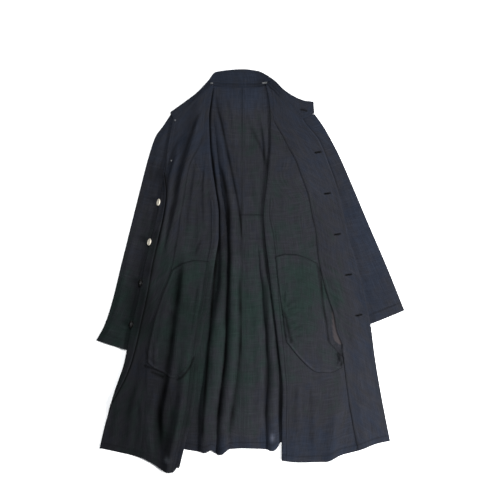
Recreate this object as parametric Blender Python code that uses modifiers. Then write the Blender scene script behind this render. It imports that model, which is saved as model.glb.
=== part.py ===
"""Shirt coat, unfastened and laid open on its back on a floor.

One closed solid per cut piece.  Lengths below are in millimetres in the shared
frame: X to the wearer's left, Y from hem to collar, Z up from the floor.  A
cross-section of each half runs as one path: centre back on the floor, out to a
hidden fold, back on top of itself to the roll that shows, over the roll, and out
again as the front.  Pieces are cut from that path at the seams.
"""
import math

import bpy
import bmesh
import numpy as np
from mathutils import Matrix, Vector

# ------------------------------------------------------------------ sizes
CLOTH = 1.0            # wall of one layer of cloth
COLLAR_WALL = 2.0      # collar band: two layers sewn as one
SEAM = 0.3             # space between pieces that are sewn together
ON_PANEL = 0.5         # space between a panel and what is sewn flat on it
COLUMN_MIN = 1.3       # least spacing of mesh columns where a seam cuts them off

FLOOR_MID = CLOTH / 2          # mid height of cloth lying on the floor
UNDER_R = 1.5                  # radius of the hidden fold under each front
RETURN_MID = FLOOR_MID + 2 * UNDER_R
STACK_MID = 6.3                # mid height of a front lying over back or sleeve
LOW_MID = 0.7                  # mid height of a front lying on the floor alone
DRAPE = 42.0                   # run over which a front comes down to the floor
DRAPE_CLEAR = 12.0             # run past the layer below before it comes down
ROLL_LOW = 3.0                 # mid height of the underside of a roll

CENTRE_BACK_X = -23.0
UNDERARM_Y = 291.0
SEAM_SLANT = 100.0             # run of the side seam from underarm to under the roll
SHOULDER_TIP_Y = 454.0
ARM_LIP = 5.0                  # lip of the back turned up along the hidden armhole
ARM_GAP = 3.0                  # sleeve to body there

BUTTON_D = 20.0
BUTTON_WALL = 3.0
BUTTON_RIM = 2.2
BUTTON_SHANK = 1.6             # thread between button and cloth
BUTTON_DISH = 0.7
BUTTON_HOLE_D = 2.0
BUTTON_HOLE_PITCH = 4.2
BUTTONHOLE = (22.0, 1.5)       # slit length and width

SLEEVE_ROWS = 12
# Rows of the body pieces, neck to hem; the first and last four follow neck and hem.
ROW_Y = (538, 488, 440, 390, 340, 292, 240, 190, 130, 70, 10, -55, -120, -178, -245, -315, -385, -455, -520)
ROW_BLEND = 4
POCKET_CELLS = 6

# ------------------------------------------------------------------ tables
# Sections from neck to hem.  roll: the fold that shows; height: mid height of
# the roll's crest; seam: side seam's distance from the roll; facing: inner edge
# of the facing; edge: front edge as it lies; under: the hidden fold (armhole
# above the underarm); turn: width of the front edge turned back on itself.
SECTION = ("y", "roll", "height", "seam", "facing", "edge", "under", "turn")
LEFT_SECTIONS = (
    (538, -107, 9, 12, -122, -194, -215, 0),
    (494, -113, 12, 12, -128, -203, -207, 0),
    (442, -119, 15, 12, -131, -219, -197, 0),
    (378, -117, 18, 12, -139, -232, -183, 0),
    (306, -111, 21, 12, -171, -245, -168, 6),
    (233, -100, 22, 12, -186, -255, -174, 13),
    (164, -91, 22, 12, -197, -268, -183, 17),
    (103, -91, 21, 12, -207, -283, -191, 19),
    (25, -102, 19, 13, -220, -302, -203, 20),
    (-77, -117, 18, 13, -258, -323, -220, 23),
    (-173, -136, 18, 12, -286, -345, -235, 24),
    (-260, -148, 18, 12, -299, -362, -246, 19),
    (-355, -158, 17, 12, -296, -394, -255, 12),
    (-434, -171, 15, 12, -302, -416, -261, 4),
    (-515, -191, 12, 12, -309, -434, -267, 0),
)
RIGHT_SECTIONS = (
    (538, 46, 8, 14, 60, 136, 171, 0),
    (494, 55, 9, 14, 66, 141, 161, 0),
    (442, 59, 10, 14, 70, 152, 148, 0),
    (378, 59, 12, 14, 99, 199, 130, 0),
    (306, 54, 13, 14, 138, 229, 112, 0),
    (233, 46, 13, 15, 164, 254, 119, 0),
    (164, 39, 12, 17, 181, 271, 132, 0),
    (103, 43, 12, 24, 191, 284, 142, 0),
    (25, 52, 13, 25, 200, 307, 157, 0),
    (-77, 64, 14, 18, 213, 334, 174, 0),
    (-173, 76, 15, 15, 236, 348, 186, 0),
    (-260, 86, 15, 13, 268, 360, 194, 0),
    (-355, 94, 15, 12, 283, 376, 203, 0),
    (-434, 90, 14, 13, 296, 391, 210, 0),
    (-515, 86, 11, 13, 312, 407, 218, 0),
)
ROLL_R = {"left": 8.0, "right": 7.0}          # half width of the roll
ROLL_RUN = {"left": 46.0, "right": 38.0}      # run of its slope on to the front
EDGE_LIFT = {"left": 3.0, "right": 0.0}       # front edge held up by the buttons
EDGE_LIFT_RUN = 26.0
IN_TURN = 1.4                                 # space to the facing inside the turn
TURN_R = 4.0                                  # bend of the turned front edge

# Folds standing up from a panel: crest x at six heights, crest height at the
# same six, half width.  Those of the back lie between centre back and the roll.
FOLD_Y = (442, 306, 164, -86, -315, -520)
FOLD = ("panel", "crest_x", "crest_h", "half_width")
FOLDS = (
    ("back_left", (-99, -76, -50, -49, -64, -82), (3, 6, 8, 10, 12, 12), 11.0),
    ("back_left", (-111, -100, -77, -91, -119, -134), (0, 1, 6, 11, 12, 10), 9.5),
    ("back_right", (30, 34, 22, 50, 74, 68), (2, 3, 0, 7, 11, 10), 8.0),
    ("front_left", (-160, -188, -206, -182, -193, -226), (2, 4, 3, 3, 9, 15), 18.0),
    ("front_left", (-150, -168, -186, -262, -300, -318), (3, 4, 3, 3, 4, 4), 20.0),
    ("front_right", (110, 150, 205, 250, 262, 236), (3, 3, 2, 3, 4, 6), 20.0),
    ("front_right", (120, 190, 225, 282, 320, 330), (0, 2, 2, 2, 3, 4), 22.0),
)

# Hems and neck, as they lie: x and y.
HEM = ("x", "y")
BACK_HEM = ((-191, -516), (-151, -516), (-132, -528), (-110, -519), (-82, -534),
            (-58, -521), (-23, -517), (38, -512), (66, -521), (84, -511))
LEFT_HEM = ((-434, -512), (-377, -525), (-319, -541), (-276, -563), (-240, -584),
            (-224, -584.3), (-213, -566), (-203, -549))
RIGHT_HEM = ((99, -549), (145, -554), (218, -552), (261, -535), (313, -521),
             (371, -500), (407, -493))
HIDDEN_HEM_Y = -513.0                         # layers under the fronts
SEAM_HEM_Y = {"left": -520.0, "right": -522.0}
NECK_BACK_Y = (532.0, 538.0)                  # at centre back, at the rolls
NECK_FRONT_Y = {"left": 439.0, "right": 442.0}

# Sleeves lying flat: outer edge from shoulder to cuff, then the inner edge.
SLEEVE_OUTER = {
    "left": ((454, -229), (419, -252), (390, -273), (332, -293), (245, -316),
             (129, -345), (13, -374), (-103, -403), (-161, -423), (-203, -446)),
    "right": ((454, 186), (419, 209), (390, 226), (332, 255), (245, 293),
              (129, 342), (13, 392), (-116, 446)),
}
SLEEVE_INNER = {"left": ((270, -188), (-246, -303)), "right": ((270, 134), (-173, 307))}
CUFF_Y = {"left": (-246.0, -203.0), "right": (-173.0, -116.0)}   # inner, outer
SLEEVE_PUFF = 3.5                             # rise of the part that shows

# Pocket bags: share of the way from side seam to facing, top y, bottom y.
POCKET = ("share", "top", "bottom")
POCKETS = {
    "left": ((0.0, 25, -216), (0.2, 28, -272), (0.4, 29, -310), (0.7, 22, -290), (1.0, 2, -248)),
    "right": ((0.0, 39, -207), (0.25, 47, -262), (0.5, 46, -294), (0.75, 36, -296), (1.0, 20, -280)),
}
POCKET_GAP = 1.1                              # a bag is fuller than a facing
POCKET_INSET = (0.5, 0.1)                     # share of a column, at seam and facing
FACING_SHORT = {"neck": 0.05, "hem": 0.08, "edge": 0.15}   # share of a row or column

# Collar's free edge: share of the neck seam from its left end, then x, y, z.
COLLAR = ("share", "x", "y", "z")
COLLAR_EDGE = (
    (0.00, -231, 458, 9.0), (0.12, -188, 489, 8.0), (0.22, -154, 515, 7.0),
    (0.33, -123, 548, 4.5), (0.38, -99, 576, 1.6), (0.50, -23, 584.2, 1.0),
    (0.61, 23, 579, 1.3), (0.68, 70, 552, 4.0), (0.77, 98, 524, 6.5),
    (0.89, 136, 500, 7.0), (1.00, 158, 491.5, 7.5),
)
COLLAR_TAB = ((186, 457, 7.6), (184, 489, 7.6))   # right end past the front edge

# Buttons: y along the left front edge, tilt of the face from straight down.
BUTTON = ("y", "x_in", "tilt")
BUTTONS = ((441, 9, 0), (316, 18, 0), (196, 0, 118), (81, 0, 122), (-36, 0, 132), (-156, 0, 134))
# Buttonholes: centre x, y, angle.  The first is in the collar.
BUTTONHOLES = ((156, 464, -14), (197, 342, 8), (224, 223, 8), (253, 105, 8), (285, -12, 9), (315, -129, 9))


# ------------------------------------------------------------------ curves
def smooth_curve(points):
    """Shape-keeping cubic through (at, value) points, straight beyond its ends."""
    points = sorted(points)
    at = np.array([p[0] for p in points], float)
    value = np.array([p[1] for p in points], float)
    run, rise = np.diff(at), np.diff(value)
    slope = rise / run
    tangent = np.empty_like(at)
    tangent[0], tangent[-1] = slope[0], slope[-1]
    for i in range(1, len(at) - 1):
        a, b = slope[i - 1], slope[i]
        tangent[i] = 0.0 if a * b <= 0 else 2 * a * b / (a + b)

    def curve(t):
        t = np.asarray(t, float)
        i = np.clip(np.searchsorted(at, t) - 1, 0, len(at) - 2)
        h = run[i]
        u = (t - at[i]) / h
        inside = ((2 * u**3 - 3 * u**2 + 1) * value[i] + (u**3 - 2 * u**2 + u) * h * tangent[i]
                  + (3 * u**2 - 2 * u**3) * value[i + 1] + (u**3 - u**2) * h * tangent[i + 1])
        low = value[0] + (t - at[0]) * tangent[0]
        high = value[-1] + (t - at[-1]) * tangent[-1]
        return np.where(u < 0, low, np.where((t > at[-1]), high, inside))
    return curve


def column(rows, names, key):
    k = names.index(key)
    return smooth_curve([(row[0], row[k]) for row in rows])


def ease(t):
    t = np.clip(t, 0.0, 1.0)
    return t * t * (3 - 2 * t)


class Fold:
    def __init__(self, row):
        self.panel = row[0]
        self.x = smooth_curve(list(zip(FOLD_Y, row[1])))
        self.h = smooth_curve(list(zip(FOLD_Y, row[2])))
        self.w = row[3]

    def rise(self, x, y):
        return np.maximum(self.h(y), 0.0) * np.exp(-((x - self.x(y)) / self.w) ** 2)


class Half:
    """One half of the coat: its path from centre back to front edge."""

    def __init__(self, name, sections):
        self.name = name
        self.d = -1.0 if name == "left" else 1.0
        for key in SECTION[1:]:
            setattr(self, key, column(sections, SECTION, key))
        self.r = ROLL_R[name]
        self.outer = smooth_curve(SLEEVE_OUTER[name])
        arm = [(y, float(self.under(y)) + self.d * ARM_GAP) for y in (SHOULDER_TIP_Y, 378, 312)]
        self.inner = smooth_curve(arm + list(SLEEVE_INNER[name]))
        self.hem = smooth_curve(LEFT_HEM if name == "left" else RIGHT_HEM)
        self.back_folds = [f for f in map(Fold, FOLDS) if f.panel == "back_" + name]
        self.front_folds = [f for f in map(Fold, FOLDS) if f.panel == "front_" + name]

    # ---- heights
    def cover(self, x, y):
        """1 where back or sleeve lies under the front, 0 on the bare floor."""
        d = self.d
        past_fold = d * (x - self.under(y)) - UNDER_R
        across = np.clip((x - self.inner(y)) / (self.outer(y) - self.inner(y)), 0, 1)
        cuff = CUFF_Y[self.name][0] + across * (CUFF_Y[self.name][1] - CUFF_Y[self.name][0])
        past_sleeve = np.maximum.reduce([d * (self.inner(y) - x), d * (x - self.outer(y)), cuff - y])
        bare = [ease((past - DRAPE_CLEAR) / DRAPE) for past in (past_fold, past_sleeve)]
        return 1 - bare[0] * bare[1]

    def top(self, x, y):
        """Mid height of the upper layer, from the roll's crest to the front edge."""
        d = self.d
        base = LOW_MID + (STACK_MID - LOW_MID) * self.cover(x, y)
        past = np.maximum(d * (x - self.roll(y)) - self.r, 0.0)
        z = base + (self.height(y) - base) * np.exp(-(past / ROLL_RUN[self.name]) ** 2)
        level = ease(past / 30.0) * ease(d * (self.edge(y) - x) / 30.0 + 0.15)
        for fold in self.front_folds:
            z = z + level * fold.rise(x, y)
        lift = EDGE_LIFT[self.name] * ease((y + 330.0) / 120.0)
        return z + lift * np.exp(-(d * (self.edge(y) - x) / EDGE_LIFT_RUN) ** 2)

    def floor(self, x, y):
        """Mid height of the back lying on the floor, with its standing folds."""
        z = np.full(np.shape(x), FLOOR_MID)
        clear = ease((self.d * (self.roll(y) - x) - 2.0) / 10.0)
        middle = ease((self.d * (x - CENTRE_BACK_X) - 2.0) / 12.0)
        for fold in self.back_folds:
            z = z + clear * middle * fold.rise(x, y)
        return z

    # ---- the path
    def lengths(self, y):
        nose = (self.height(y) - ROLL_LOW) / 2
        quarter = math.pi / 2 * np.sqrt((self.r**2 + nose**2) / 2)
        back_run = self.d * (self.under(y) - self.roll(y)) - self.r
        return nose, quarter, back_run

    def at_floor(self, y, x):
        nose, quarter, back_run = self.lengths(y)
        return -(quarter + back_run + math.pi * UNDER_R + self.d * (self.under(y) - x))

    def at_top(self, y, x):
        nose, quarter, back_run = self.lengths(y)
        return quarter + self.d * (x - self.roll(y)) - self.r

    def turn_start(self, y):
        """Front edge turned back: share turned, bend radius, strip, where it starts."""
        g = ease(self.turn(y) / 16.0)
        angle = math.pi * g
        radius = TURN_R
        strip = 6.0 + np.maximum(self.turn(y) - 6.0, 0.0) * g
        reach = np.where(angle >= math.pi / 2, radius, radius * np.sin(angle) + strip * np.cos(angle))
        return angle, radius, strip, self.edge(y) - self.d * reach

    def point(self, y, s):
        """Point (x, z) of the path at section y, run s from the roll's tip."""
        d, r = self.d, self.r
        nose, quarter, back_run = self.lengths(y)
        mid = (self.height(y) + ROLL_LOW) / 2
        xn = self.roll(y) + d * r
        a = np.clip(np.abs(s) / quarter, 0, 1) * math.pi / 2
        x = xn - d * r * np.cos(a)
        z = mid + np.sign(s) * nose * np.sin(a)
        # upper layer
        far = s > quarter
        xt = xn + d * (s - quarter)
        angle, radius, strip, start = self.turn_start(y)
        turned = (d * (xt - start) > 0) & (self.turn(y) + d * 0 >= 0) & (self.name == "left")
        xt_flat = np.where(turned, start, xt)
        zt = self.top(xt_flat, y)
        over = np.where(turned, d * (xt - start), 0.0)
        arc = np.minimum(over, radius * angle)
        bend = arc / radius
        rest = over - arc
        xt_bent = start + d * (radius * np.sin(bend) + rest * np.cos(bend))
        zt_bent = zt + radius * (1 - np.cos(bend)) + rest * np.sin(bend)
        x = np.where(far, np.where(turned, xt_bent, xt), x)
        z = np.where(far, np.where(turned, zt_bent, zt), z)
        # lower layer: the run back, the hidden fold, the floor
        low = -s - quarter
        share = np.clip(low / back_run, 0, 1)
        on_return = (low > 0) & (low <= back_run)
        x = np.where(on_return, xn + d * low, x)
        z = np.where(on_return, ROLL_LOW + (RETURN_MID - ROLL_LOW) * share, z)
        b = (low - back_run) / UNDER_R
        on_fold = (b > 0) & (b <= math.pi)
        x = np.where(on_fold, self.under(y) + d * UNDER_R * np.sin(b), x)
        z = np.where(on_fold, FLOOR_MID + UNDER_R + UNDER_R * np.cos(b), z)
        flat = low - back_run - math.pi * UNDER_R
        xf = self.under(y) - d * flat
        x = np.where(flat > 0, xf, x)
        z = np.where(flat > 0, self.floor(xf, y), z)
        return x, z

    def inside(self, y, s, out):
        """Path point moved to the cloth's inner side by out."""
        e = 0.4
        x0, z0 = self.point(y, s - e)
        x1, z1 = self.point(y, s + e)
        n = np.hypot(x1 - x0, z1 - z0)
        x, z = self.point(y, s)
        return x - self.d * out * (z1 - z0) / n, z + self.d * out * (x1 - x0) / n

    # ---- seams
    def seam_at(self, y):
        """Side seam along the path: by the hidden fold at the armhole, then under the roll."""
        nose, quarter, back_run = self.lengths(y)
        arm = -(quarter + back_run) + ARM_LIP
        return arm + ease((UNDERARM_Y - y) / SEAM_SLANT) * (-quarter - arm)

    def back_end(self, y):
        return self.seam_at(y) - SEAM / 2

    def front_start(self, y):
        return self.seam_at(y) + SEAM / 2

    def front_end(self, y):
        angle, radius, strip, start = self.turn_start(y)
        flat = self.at_top(y, self.edge(y))
        if self.name == "right":
            return flat
        return self.at_top(y, start) + radius * angle + strip

    def shoulder_y(self, x):
        span = self.d * (self.under(SHOULDER_TIP_Y) - self.roll(NECK_BACK_Y[1]))
        share = np.clip(self.d * (x - self.roll(NECK_BACK_Y[1])) / span, 0, 1)
        return NECK_BACK_Y[1] + share * (SHOULDER_TIP_Y - NECK_BACK_Y[1])

    def neck_front_y(self, share):
        return NECK_BACK_Y[1] + share * (NECK_FRONT_Y[self.name] - NECK_BACK_Y[1])


LEFT = Half("left", LEFT_SECTIONS)
RIGHT = Half("right", RIGHT_SECTIONS)
BACK_HEM_Y = smooth_curve(BACK_HEM)


# ------------------------------------------------------------------ grids of points
def back_columns(half):
    """Columns from centre back to side seam: run along the path as f(y), top y, hem y."""
    d = half.d
    cols = []

    def on_floor(x_of_y):
        x_neck, x_hem = float(x_of_y(535.0)), float(x_of_y(-515.0))
        shown = d * (half.roll(538.0) - x_neck) >= 0
        share = abs((x_neck - CENTRE_BACK_X) / float(half.roll(538.0) - CENTRE_BACK_X))
        top = NECK_BACK_Y[0] + (NECK_BACK_Y[1] - NECK_BACK_Y[0]) * min(share, 1.0) ** 2
        top = top if shown else float(half.shoulder_y(x_neck))
        seen = d * (half.roll(-515.0) - x_hem) >= 0
        hem = float(BACK_HEM_Y(x_hem)) if seen else HIDDEN_HEM_Y
        cols.append((lambda y, f=x_of_y: half.at_floor(y, f(y)), top, hem))

    marks = [lambda y: CENTRE_BACK_X + d * SEAM / 2 + 0 * y]
    for fold in half.back_folds:
        for side in (-2.2, -1.1, 0.0, 0.9):
            marks.append(lambda y, f=fold, k=side: f.x(y) + d * k * f.w)
    marks.append(lambda y: half.roll(y) - d * 1.5)

    def spread(y, i, n=len(marks)):
        """Mark i between centre back and roll, kept in order and apart."""
        y = np.asarray(y, float)
        raw = [d * (m(y) - CENTRE_BACK_X) for m in marks]
        out = raw[0]
        for k in range(1, i + 1):
            out = np.maximum(raw[k], out + 3.0)
        return CENTRE_BACK_X + d * np.minimum(out, raw[-1] - 3.0 * (n - 1 - i))

    for i in range(len(marks)):
        on_floor(lambda y, i=i: spread(y, i))
    for share in (0.3, 0.65, 0.97):
        on_floor(lambda y, k=share: half.roll(y) + k * (half.under(y) - half.roll(y)))

    def along(kind, k):
        def run(y):
            nose, quarter, back_run = half.lengths(y)
            return -(quarter + back_run + UNDER_R * math.pi * k) if kind == "fold" else -(quarter + back_run * k)
        return run

    for kind, k in (("fold", 0.8), ("fold", 0.5), ("fold", 0.2), ("return", 0.7), ("return", 0.3)):
        cols.append((along(kind, k), SHOULDER_TIP_Y, HIDDEN_HEM_Y))
    cols.append((half.back_end, SHOULDER_TIP_Y, SEAM_HEM_Y[half.name]))
    return cols


def front_columns(half):
    """Columns from side seam to front edge, with the turned edge on the left."""
    d = half.d
    crest_hem = float(half.roll(-530.0)) + d * half.r
    crest_neck = float(half.roll(538.0)) + d * half.r
    neck = float((half.facing(520.0) - crest_neck) / (half.edge(520.0) - crest_neck))
    seam_hem = SEAM_HEM_Y[half.name]
    crest_hem_y = float(half.hem(crest_hem))
    cols = [(half.front_start, SHOULDER_TIP_Y, seam_hem)]

    def lower(kind, k):
        def run(y):
            nose, quarter, back_run = half.lengths(y)
            return -(quarter + back_run * k) if kind == "return" else quarter * k
        return run

    mid = float(half.roll(500.0) + 0.5 * (half.under(500.0) - half.roll(500.0)))
    cols.append((lower("return", 0.5), float(half.shoulder_y(mid)), seam_hem))
    for k in (-1.0, -0.5, 0.0, 0.5, 1.0):
        hem = seam_hem + (k + 1) / 2 * (crest_hem_y - seam_hem)
        cols.append((lower("nose", k), NECK_BACK_Y[1] - 1.0, hem))

    def flat_end(y):
        return half.at_top(y, half.turn_start(y)[3]) if half.name == "left" else half.front_end(y)

    def inner(k):
        def run(y):
            nose, quarter, back_run = half.lengths(y)
            return quarter + k * (half.at_top(y, half.facing(y)) - quarter)
        return run

    def outer(k):
        def run(y):
            line = half.at_top(y, half.facing(y))
            return line + k * (flat_end(y) - line)
        return run

    facing_hem, edge_hem = float(half.facing(-530.0)), float(half.edge(-505.0))
    for k in INNER_SHARES:
        x = crest_hem + k * (facing_hem - crest_hem)
        cols.append((inner(k), float(half.neck_front_y(neck * k)), float(half.hem(x))))
    for k in OUTER_SHARES:
        x = facing_hem + k * (edge_hem - facing_hem)
        cols.append((outer(k), float(half.neck_front_y(neck + k * (1 - neck))), float(half.hem(x))))
    if half.name == "left":
        def turned(bend, lead, strip_share):
            def run(y):
                angle, radius, strip, start = half.turn_start(y)
                return half.at_top(y, start) + np.maximum(bend * radius * angle, lead) + strip_share * strip
            return run
        top, hem = cols[-1][1:]
        for bend, lead, strip_share in TURN_COLUMNS:
            cols.append((turned(bend, lead, strip_share), top, hem))
    return cols


INNER_SHARES = (0.12, 0.3, 0.5, 0.75, 1.0)      # roll's crest to facing line
OUTER_SHARES = (0.25, 0.5, 0.75, 1.0)           # facing line to front edge
TURN_COLUMNS = ((0.25, 0.6, 0.0), (0.5, 1.2, 0.0), (0.75, 1.8, 0.0), (1.0, 2.4, 0.0), (1.0, 2.4, 0.5), (1.0, 2.4, 1.0))
CREST = 6                                       # front column on the roll's crest
FACING = CREST + len(INNER_SHARES)              # front column on the facing line


def row_heights(top, hem):
    """Common rows, bent near their ends to a column's own top and hem."""
    y = np.array(ROW_Y, float)
    k = np.arange(len(y))
    neck = np.clip(1 - k / ROW_BLEND, 0, 1) ** 2
    foot = np.clip(1 - (len(y) - 1 - k) / ROW_BLEND, 0, 1) ** 2
    return y + neck * (top - y[0]) + foot * (hem - y[-1])


def column_points(half, cols, limit, from_start):
    """Grid of points, each column kept clear of the seam that cuts it off."""
    grid = np.zeros((len(ROW_Y), len(cols), 3))
    for i, (run, top, hem) in enumerate(cols):
        y = row_heights(top, hem)
        if from_start:
            s = np.maximum(run(y), limit(y) + COLUMN_MIN * i)
        else:
            s = np.minimum(run(y), limit(y) - COLUMN_MIN * (len(cols) - 1 - i))
        x, z = half.point(y, s)
        grid[:, i] = np.stack([x, y, z], 1)
    return grid


def back_grid(half):
    return column_points(half, back_columns(half), half.back_end, False)


def front_grid(half):
    return column_points(half, front_columns(half), half.front_start, True)


def grid_normals(half, grid):
    """Normals on the cloth's inner side, which lies up, and their even-wall factor."""
    across = np.gradient(grid, axis=1)
    along = np.gradient(grid, axis=0)
    n = np.cross(across, -along) * half.d
    n /= np.linalg.norm(n, axis=2)[:, :, None]
    step = np.diff(grid, axis=1)
    step /= np.linalg.norm(step, axis=2)[:, :, None]
    bend = np.ones(grid.shape[:2])
    bend[:, 1:-1] = np.sqrt(np.clip((1 + np.sum(step[:, 1:] * step[:, :-1], axis=2)) / 2, 0.3, 1))
    return n / bend[:, :, None]


def facing_grid(half, front):
    """Facing: the front's own points from the facing line to the edge, moved out."""
    space = np.full(front.shape[1], ON_PANEL)
    space[FACING + len(OUTER_SHARES):] = IN_TURN
    grid = (front + (CLOTH + space)[None, :, None] * grid_normals(half, front))[:, FACING:].copy()
    grid[0] += FACING_SHORT["neck"] * (grid[1] - grid[0])
    grid[-1] += FACING_SHORT["hem"] * (grid[-2] - grid[-1])
    grid[:, -1] += FACING_SHORT["edge"] * (grid[:, -2] - grid[:, -1])
    return grid


def pocket_grid(half, front, cells):
    """Pocket bag: the front's points between roll and facing, cut to a D, moved out."""
    rows = POCKETS[half.name]
    top = column(rows, POCKET, "top")
    bottom = column(rows, POCKET, "bottom")
    lifted = front + (CLOTH + POCKET_GAP) * grid_normals(half, front)
    lines = [lifted[:, CREST + i] for i in range(len(INNER_SHARES) + 1)]
    lines[0] = lines[0] + POCKET_INSET[0] * (lines[1] - lines[0])
    lines[-1] = lines[-1] + POCKET_INSET[1] * (lines[-2] - lines[-1])
    shares = (0.0,) + INNER_SHARES
    grid = np.zeros((cells + 1, len(lines), 3))
    for i, line in enumerate(lines):
        y = float(top(shares[i])) + float(bottom(shares[i]) - top(shares[i])) * np.linspace(0, 1, cells + 1)
        for k in (0, 2):
            grid[:, i, k] = np.interp(-y, -line[:, 1], line[:, k])
        grid[:, i, 1] = y
    return grid


def sleeve_grid(half, rows):
    """One-piece sleeve lying flat: under layer, outer fold, upper layer, seam."""
    d = half.d
    cols = [("under", k) for k in (0.0, 0.25, 0.5, 0.75, 0.94)]
    cols += [("fold", k) for k in (0.2, 0.5, 0.8)]
    cols += [("over", k) for k in (0.94, 0.8, 0.6, 0.4, 0.2, 0.06, 0.0)]
    inner_y, outer_y = CUFF_Y[half.name]
    grid = np.zeros((rows + 1, len(cols), 3))
    for i, (kind, k) in enumerate(cols):
        share = 1.0 if kind == "fold" else k
        y = SHOULDER_TIP_Y - 1.0 + (inner_y + share * (outer_y - inner_y) - SHOULDER_TIP_Y + 1.0) \
            * np.linspace(0, 1, rows + 1)
        lo, hi = half.inner(y), half.outer(y) - d * UNDER_R
        if kind == "fold":
            a = math.pi * k
            x = hi + d * UNDER_R * math.sin(a)
            z = FLOOR_MID + UNDER_R - UNDER_R * math.cos(a) + 0 * y
        else:
            x = lo + k * (hi - lo)
            shown = ease((d * (x - half.edge(y)) - 8.0) / 24.0)
            puff = SLEEVE_PUFF * shown * ease((d * (hi - x)) / 20.0)
            z = FLOOR_MID + (2 * UNDER_R + puff if kind == "over" else 0 * y)
            if kind == "over" and k == 0.0:
                sewn = ease((UNDERARM_Y - 20.0 - y) / 40.0)
                z = z - sewn * (2 * UNDER_R - CLOTH - SEAM)
        grid[:, i] = np.stack([x, y, z + 0 * y], 1)
    return grid


def collar_grid(backs, fronts):
    """Band from the neck edges of fronts and back out to its free edge."""
    seam = []
    left_front = fronts["left"][0]
    right_front = fronts["right"][0]
    n_top = FACING + len(OUTER_SHARES)         # front column on the front edge
    seam += [left_front[i] for i in range(n_top, 3, -1)]
    back_left = backs["left"][0]
    back_right = backs["right"][0]
    shown_l = [p for p in back_left if p[0] > float(LEFT.roll(535.0)) + 3.0]
    shown_r = [p for p in back_right if p[0] < float(RIGHT.roll(535.0)) - 3.0]
    seam += shown_l[:0:-1]
    seam += [np.array([CENTRE_BACK_X, NECK_BACK_Y[0], FLOOR_MID])]
    seam += shown_r[1:]
    seam += [right_front[i] for i in range(4, n_top + 1)]
    seam = np.array(seam)
    run = np.concatenate([[0], np.cumsum(np.hypot(*np.diff(seam[:, :2], axis=0).T))])
    share = run / run[-1]
    edge = np.stack([column(COLLAR_EDGE, COLLAR, k)(share) for k in COLLAR[1:]], 1)
    out = edge - seam
    out[:, 2] = 0
    out /= np.linalg.norm(out, axis=1)[:, None]
    steep = np.abs(np.gradient(seam[:, 2])) / (np.abs(np.gradient(seam[:, 0])) + 1.0)
    seam = seam + out * (SEAM + 0.5)
    seam[:, 1] += np.minimum(2.0 * steep, 2.0)
    seam[:, 2] = np.maximum(seam[:, 2] + (COLLAR_WALL - CLOTH) / 2, COLLAR_WALL / 2)
    edge[:, 2] = np.maximum(edge[:, 2], COLLAR_WALL / 2)
    tab_seam, tab_edge = np.array(COLLAR_TAB[0], float), np.array(COLLAR_TAB[1], float)
    seam = np.vstack([seam, (seam[-1] + tab_seam) / 2 + np.array([0, -1.0, 0]), tab_seam])
    edge = np.vstack([edge, (edge[-1] + tab_edge) / 2, tab_edge])
    return np.stack([seam + k * (edge - seam) for k in (0.0, 0.5, 1.0)], 1)


# ------------------------------------------------------------------ objects
for old in list(bpy.data.objects):
    bpy.data.objects.remove(old, do_unlink=True)
for old in list(bpy.data.meshes):
    bpy.data.meshes.remove(old)

coat = bpy.data.collections.new("shirt_coat")
cutters = bpy.data.collections.new("cutters")
bpy.context.scene.collection.children.link(coat)
bpy.context.scene.collection.children.link(cutters)


def material(name, colour, roughness):
    mat = bpy.data.materials.new(name)
    mat.use_nodes = True
    shader = mat.node_tree.nodes["Principled BSDF"]
    shader.inputs["Base Color"].default_value = (*colour, 1.0)
    shader.inputs["Roughness"].default_value = roughness
    return mat


def add_object(name, mesh, mat, where):
    mesh.materials.append(mat)
    obj = bpy.data.objects.new(name, mesh)
    where.objects.link(obj)
    return obj


def sheet(name, points, wall, colour):
    """Cloth solid: a grid laid on the points, given its wall by Solidify."""
    rows, cols = points.shape[0] - 1, points.shape[1] - 1
    bm = bmesh.new()
    bmesh.ops.create_grid(bm, x_segments=cols, y_segments=rows, size=1.0)
    for v in bm.verts:
        i = round((v.co.x + 1) / 2 * cols)
        j = round((v.co.y + 1) / 2 * rows)
        v.co = Vector(points[j, i] / 1000.0)
    bmesh.ops.recalc_face_normals(bm, faces=bm.faces)
    mesh = bpy.data.meshes.new(name)
    bm.to_mesh(mesh)
    bm.free()
    obj = add_object(name, mesh, material(name + "_linen", colour, 0.9), coat)
    solid = obj.modifiers.new("wall", "SOLIDIFY")
    solid.thickness = wall / 1000.0
    solid.offset = 0.0
    solid.use_even_offset = False
    return obj


def cut(obj, cutter):
    mod = obj.modifiers.new("cut", "BOOLEAN")
    mod.operation = "DIFFERENCE"
    mod.solver = "EXACT"
    mod.object = cutter


def cutter(name, mesh, matrix):
    obj = add_object(name, mesh, material(name, (0.5, 0.5, 0.5), 0.5), cutters)
    obj.matrix_world = matrix
    obj.hide_render = True
    obj.display_type = "WIRE"
    return obj


def box_mesh(name, size):
    bm = bmesh.new()
    bmesh.ops.create_cube(bm, size=1.0, matrix=Matrix.Diagonal((*(s / 1000.0 for s in size), 1.0)))
    mesh = bpy.data.meshes.new(name)
    bm.to_mesh(mesh)
    bm.free()
    return mesh


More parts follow.
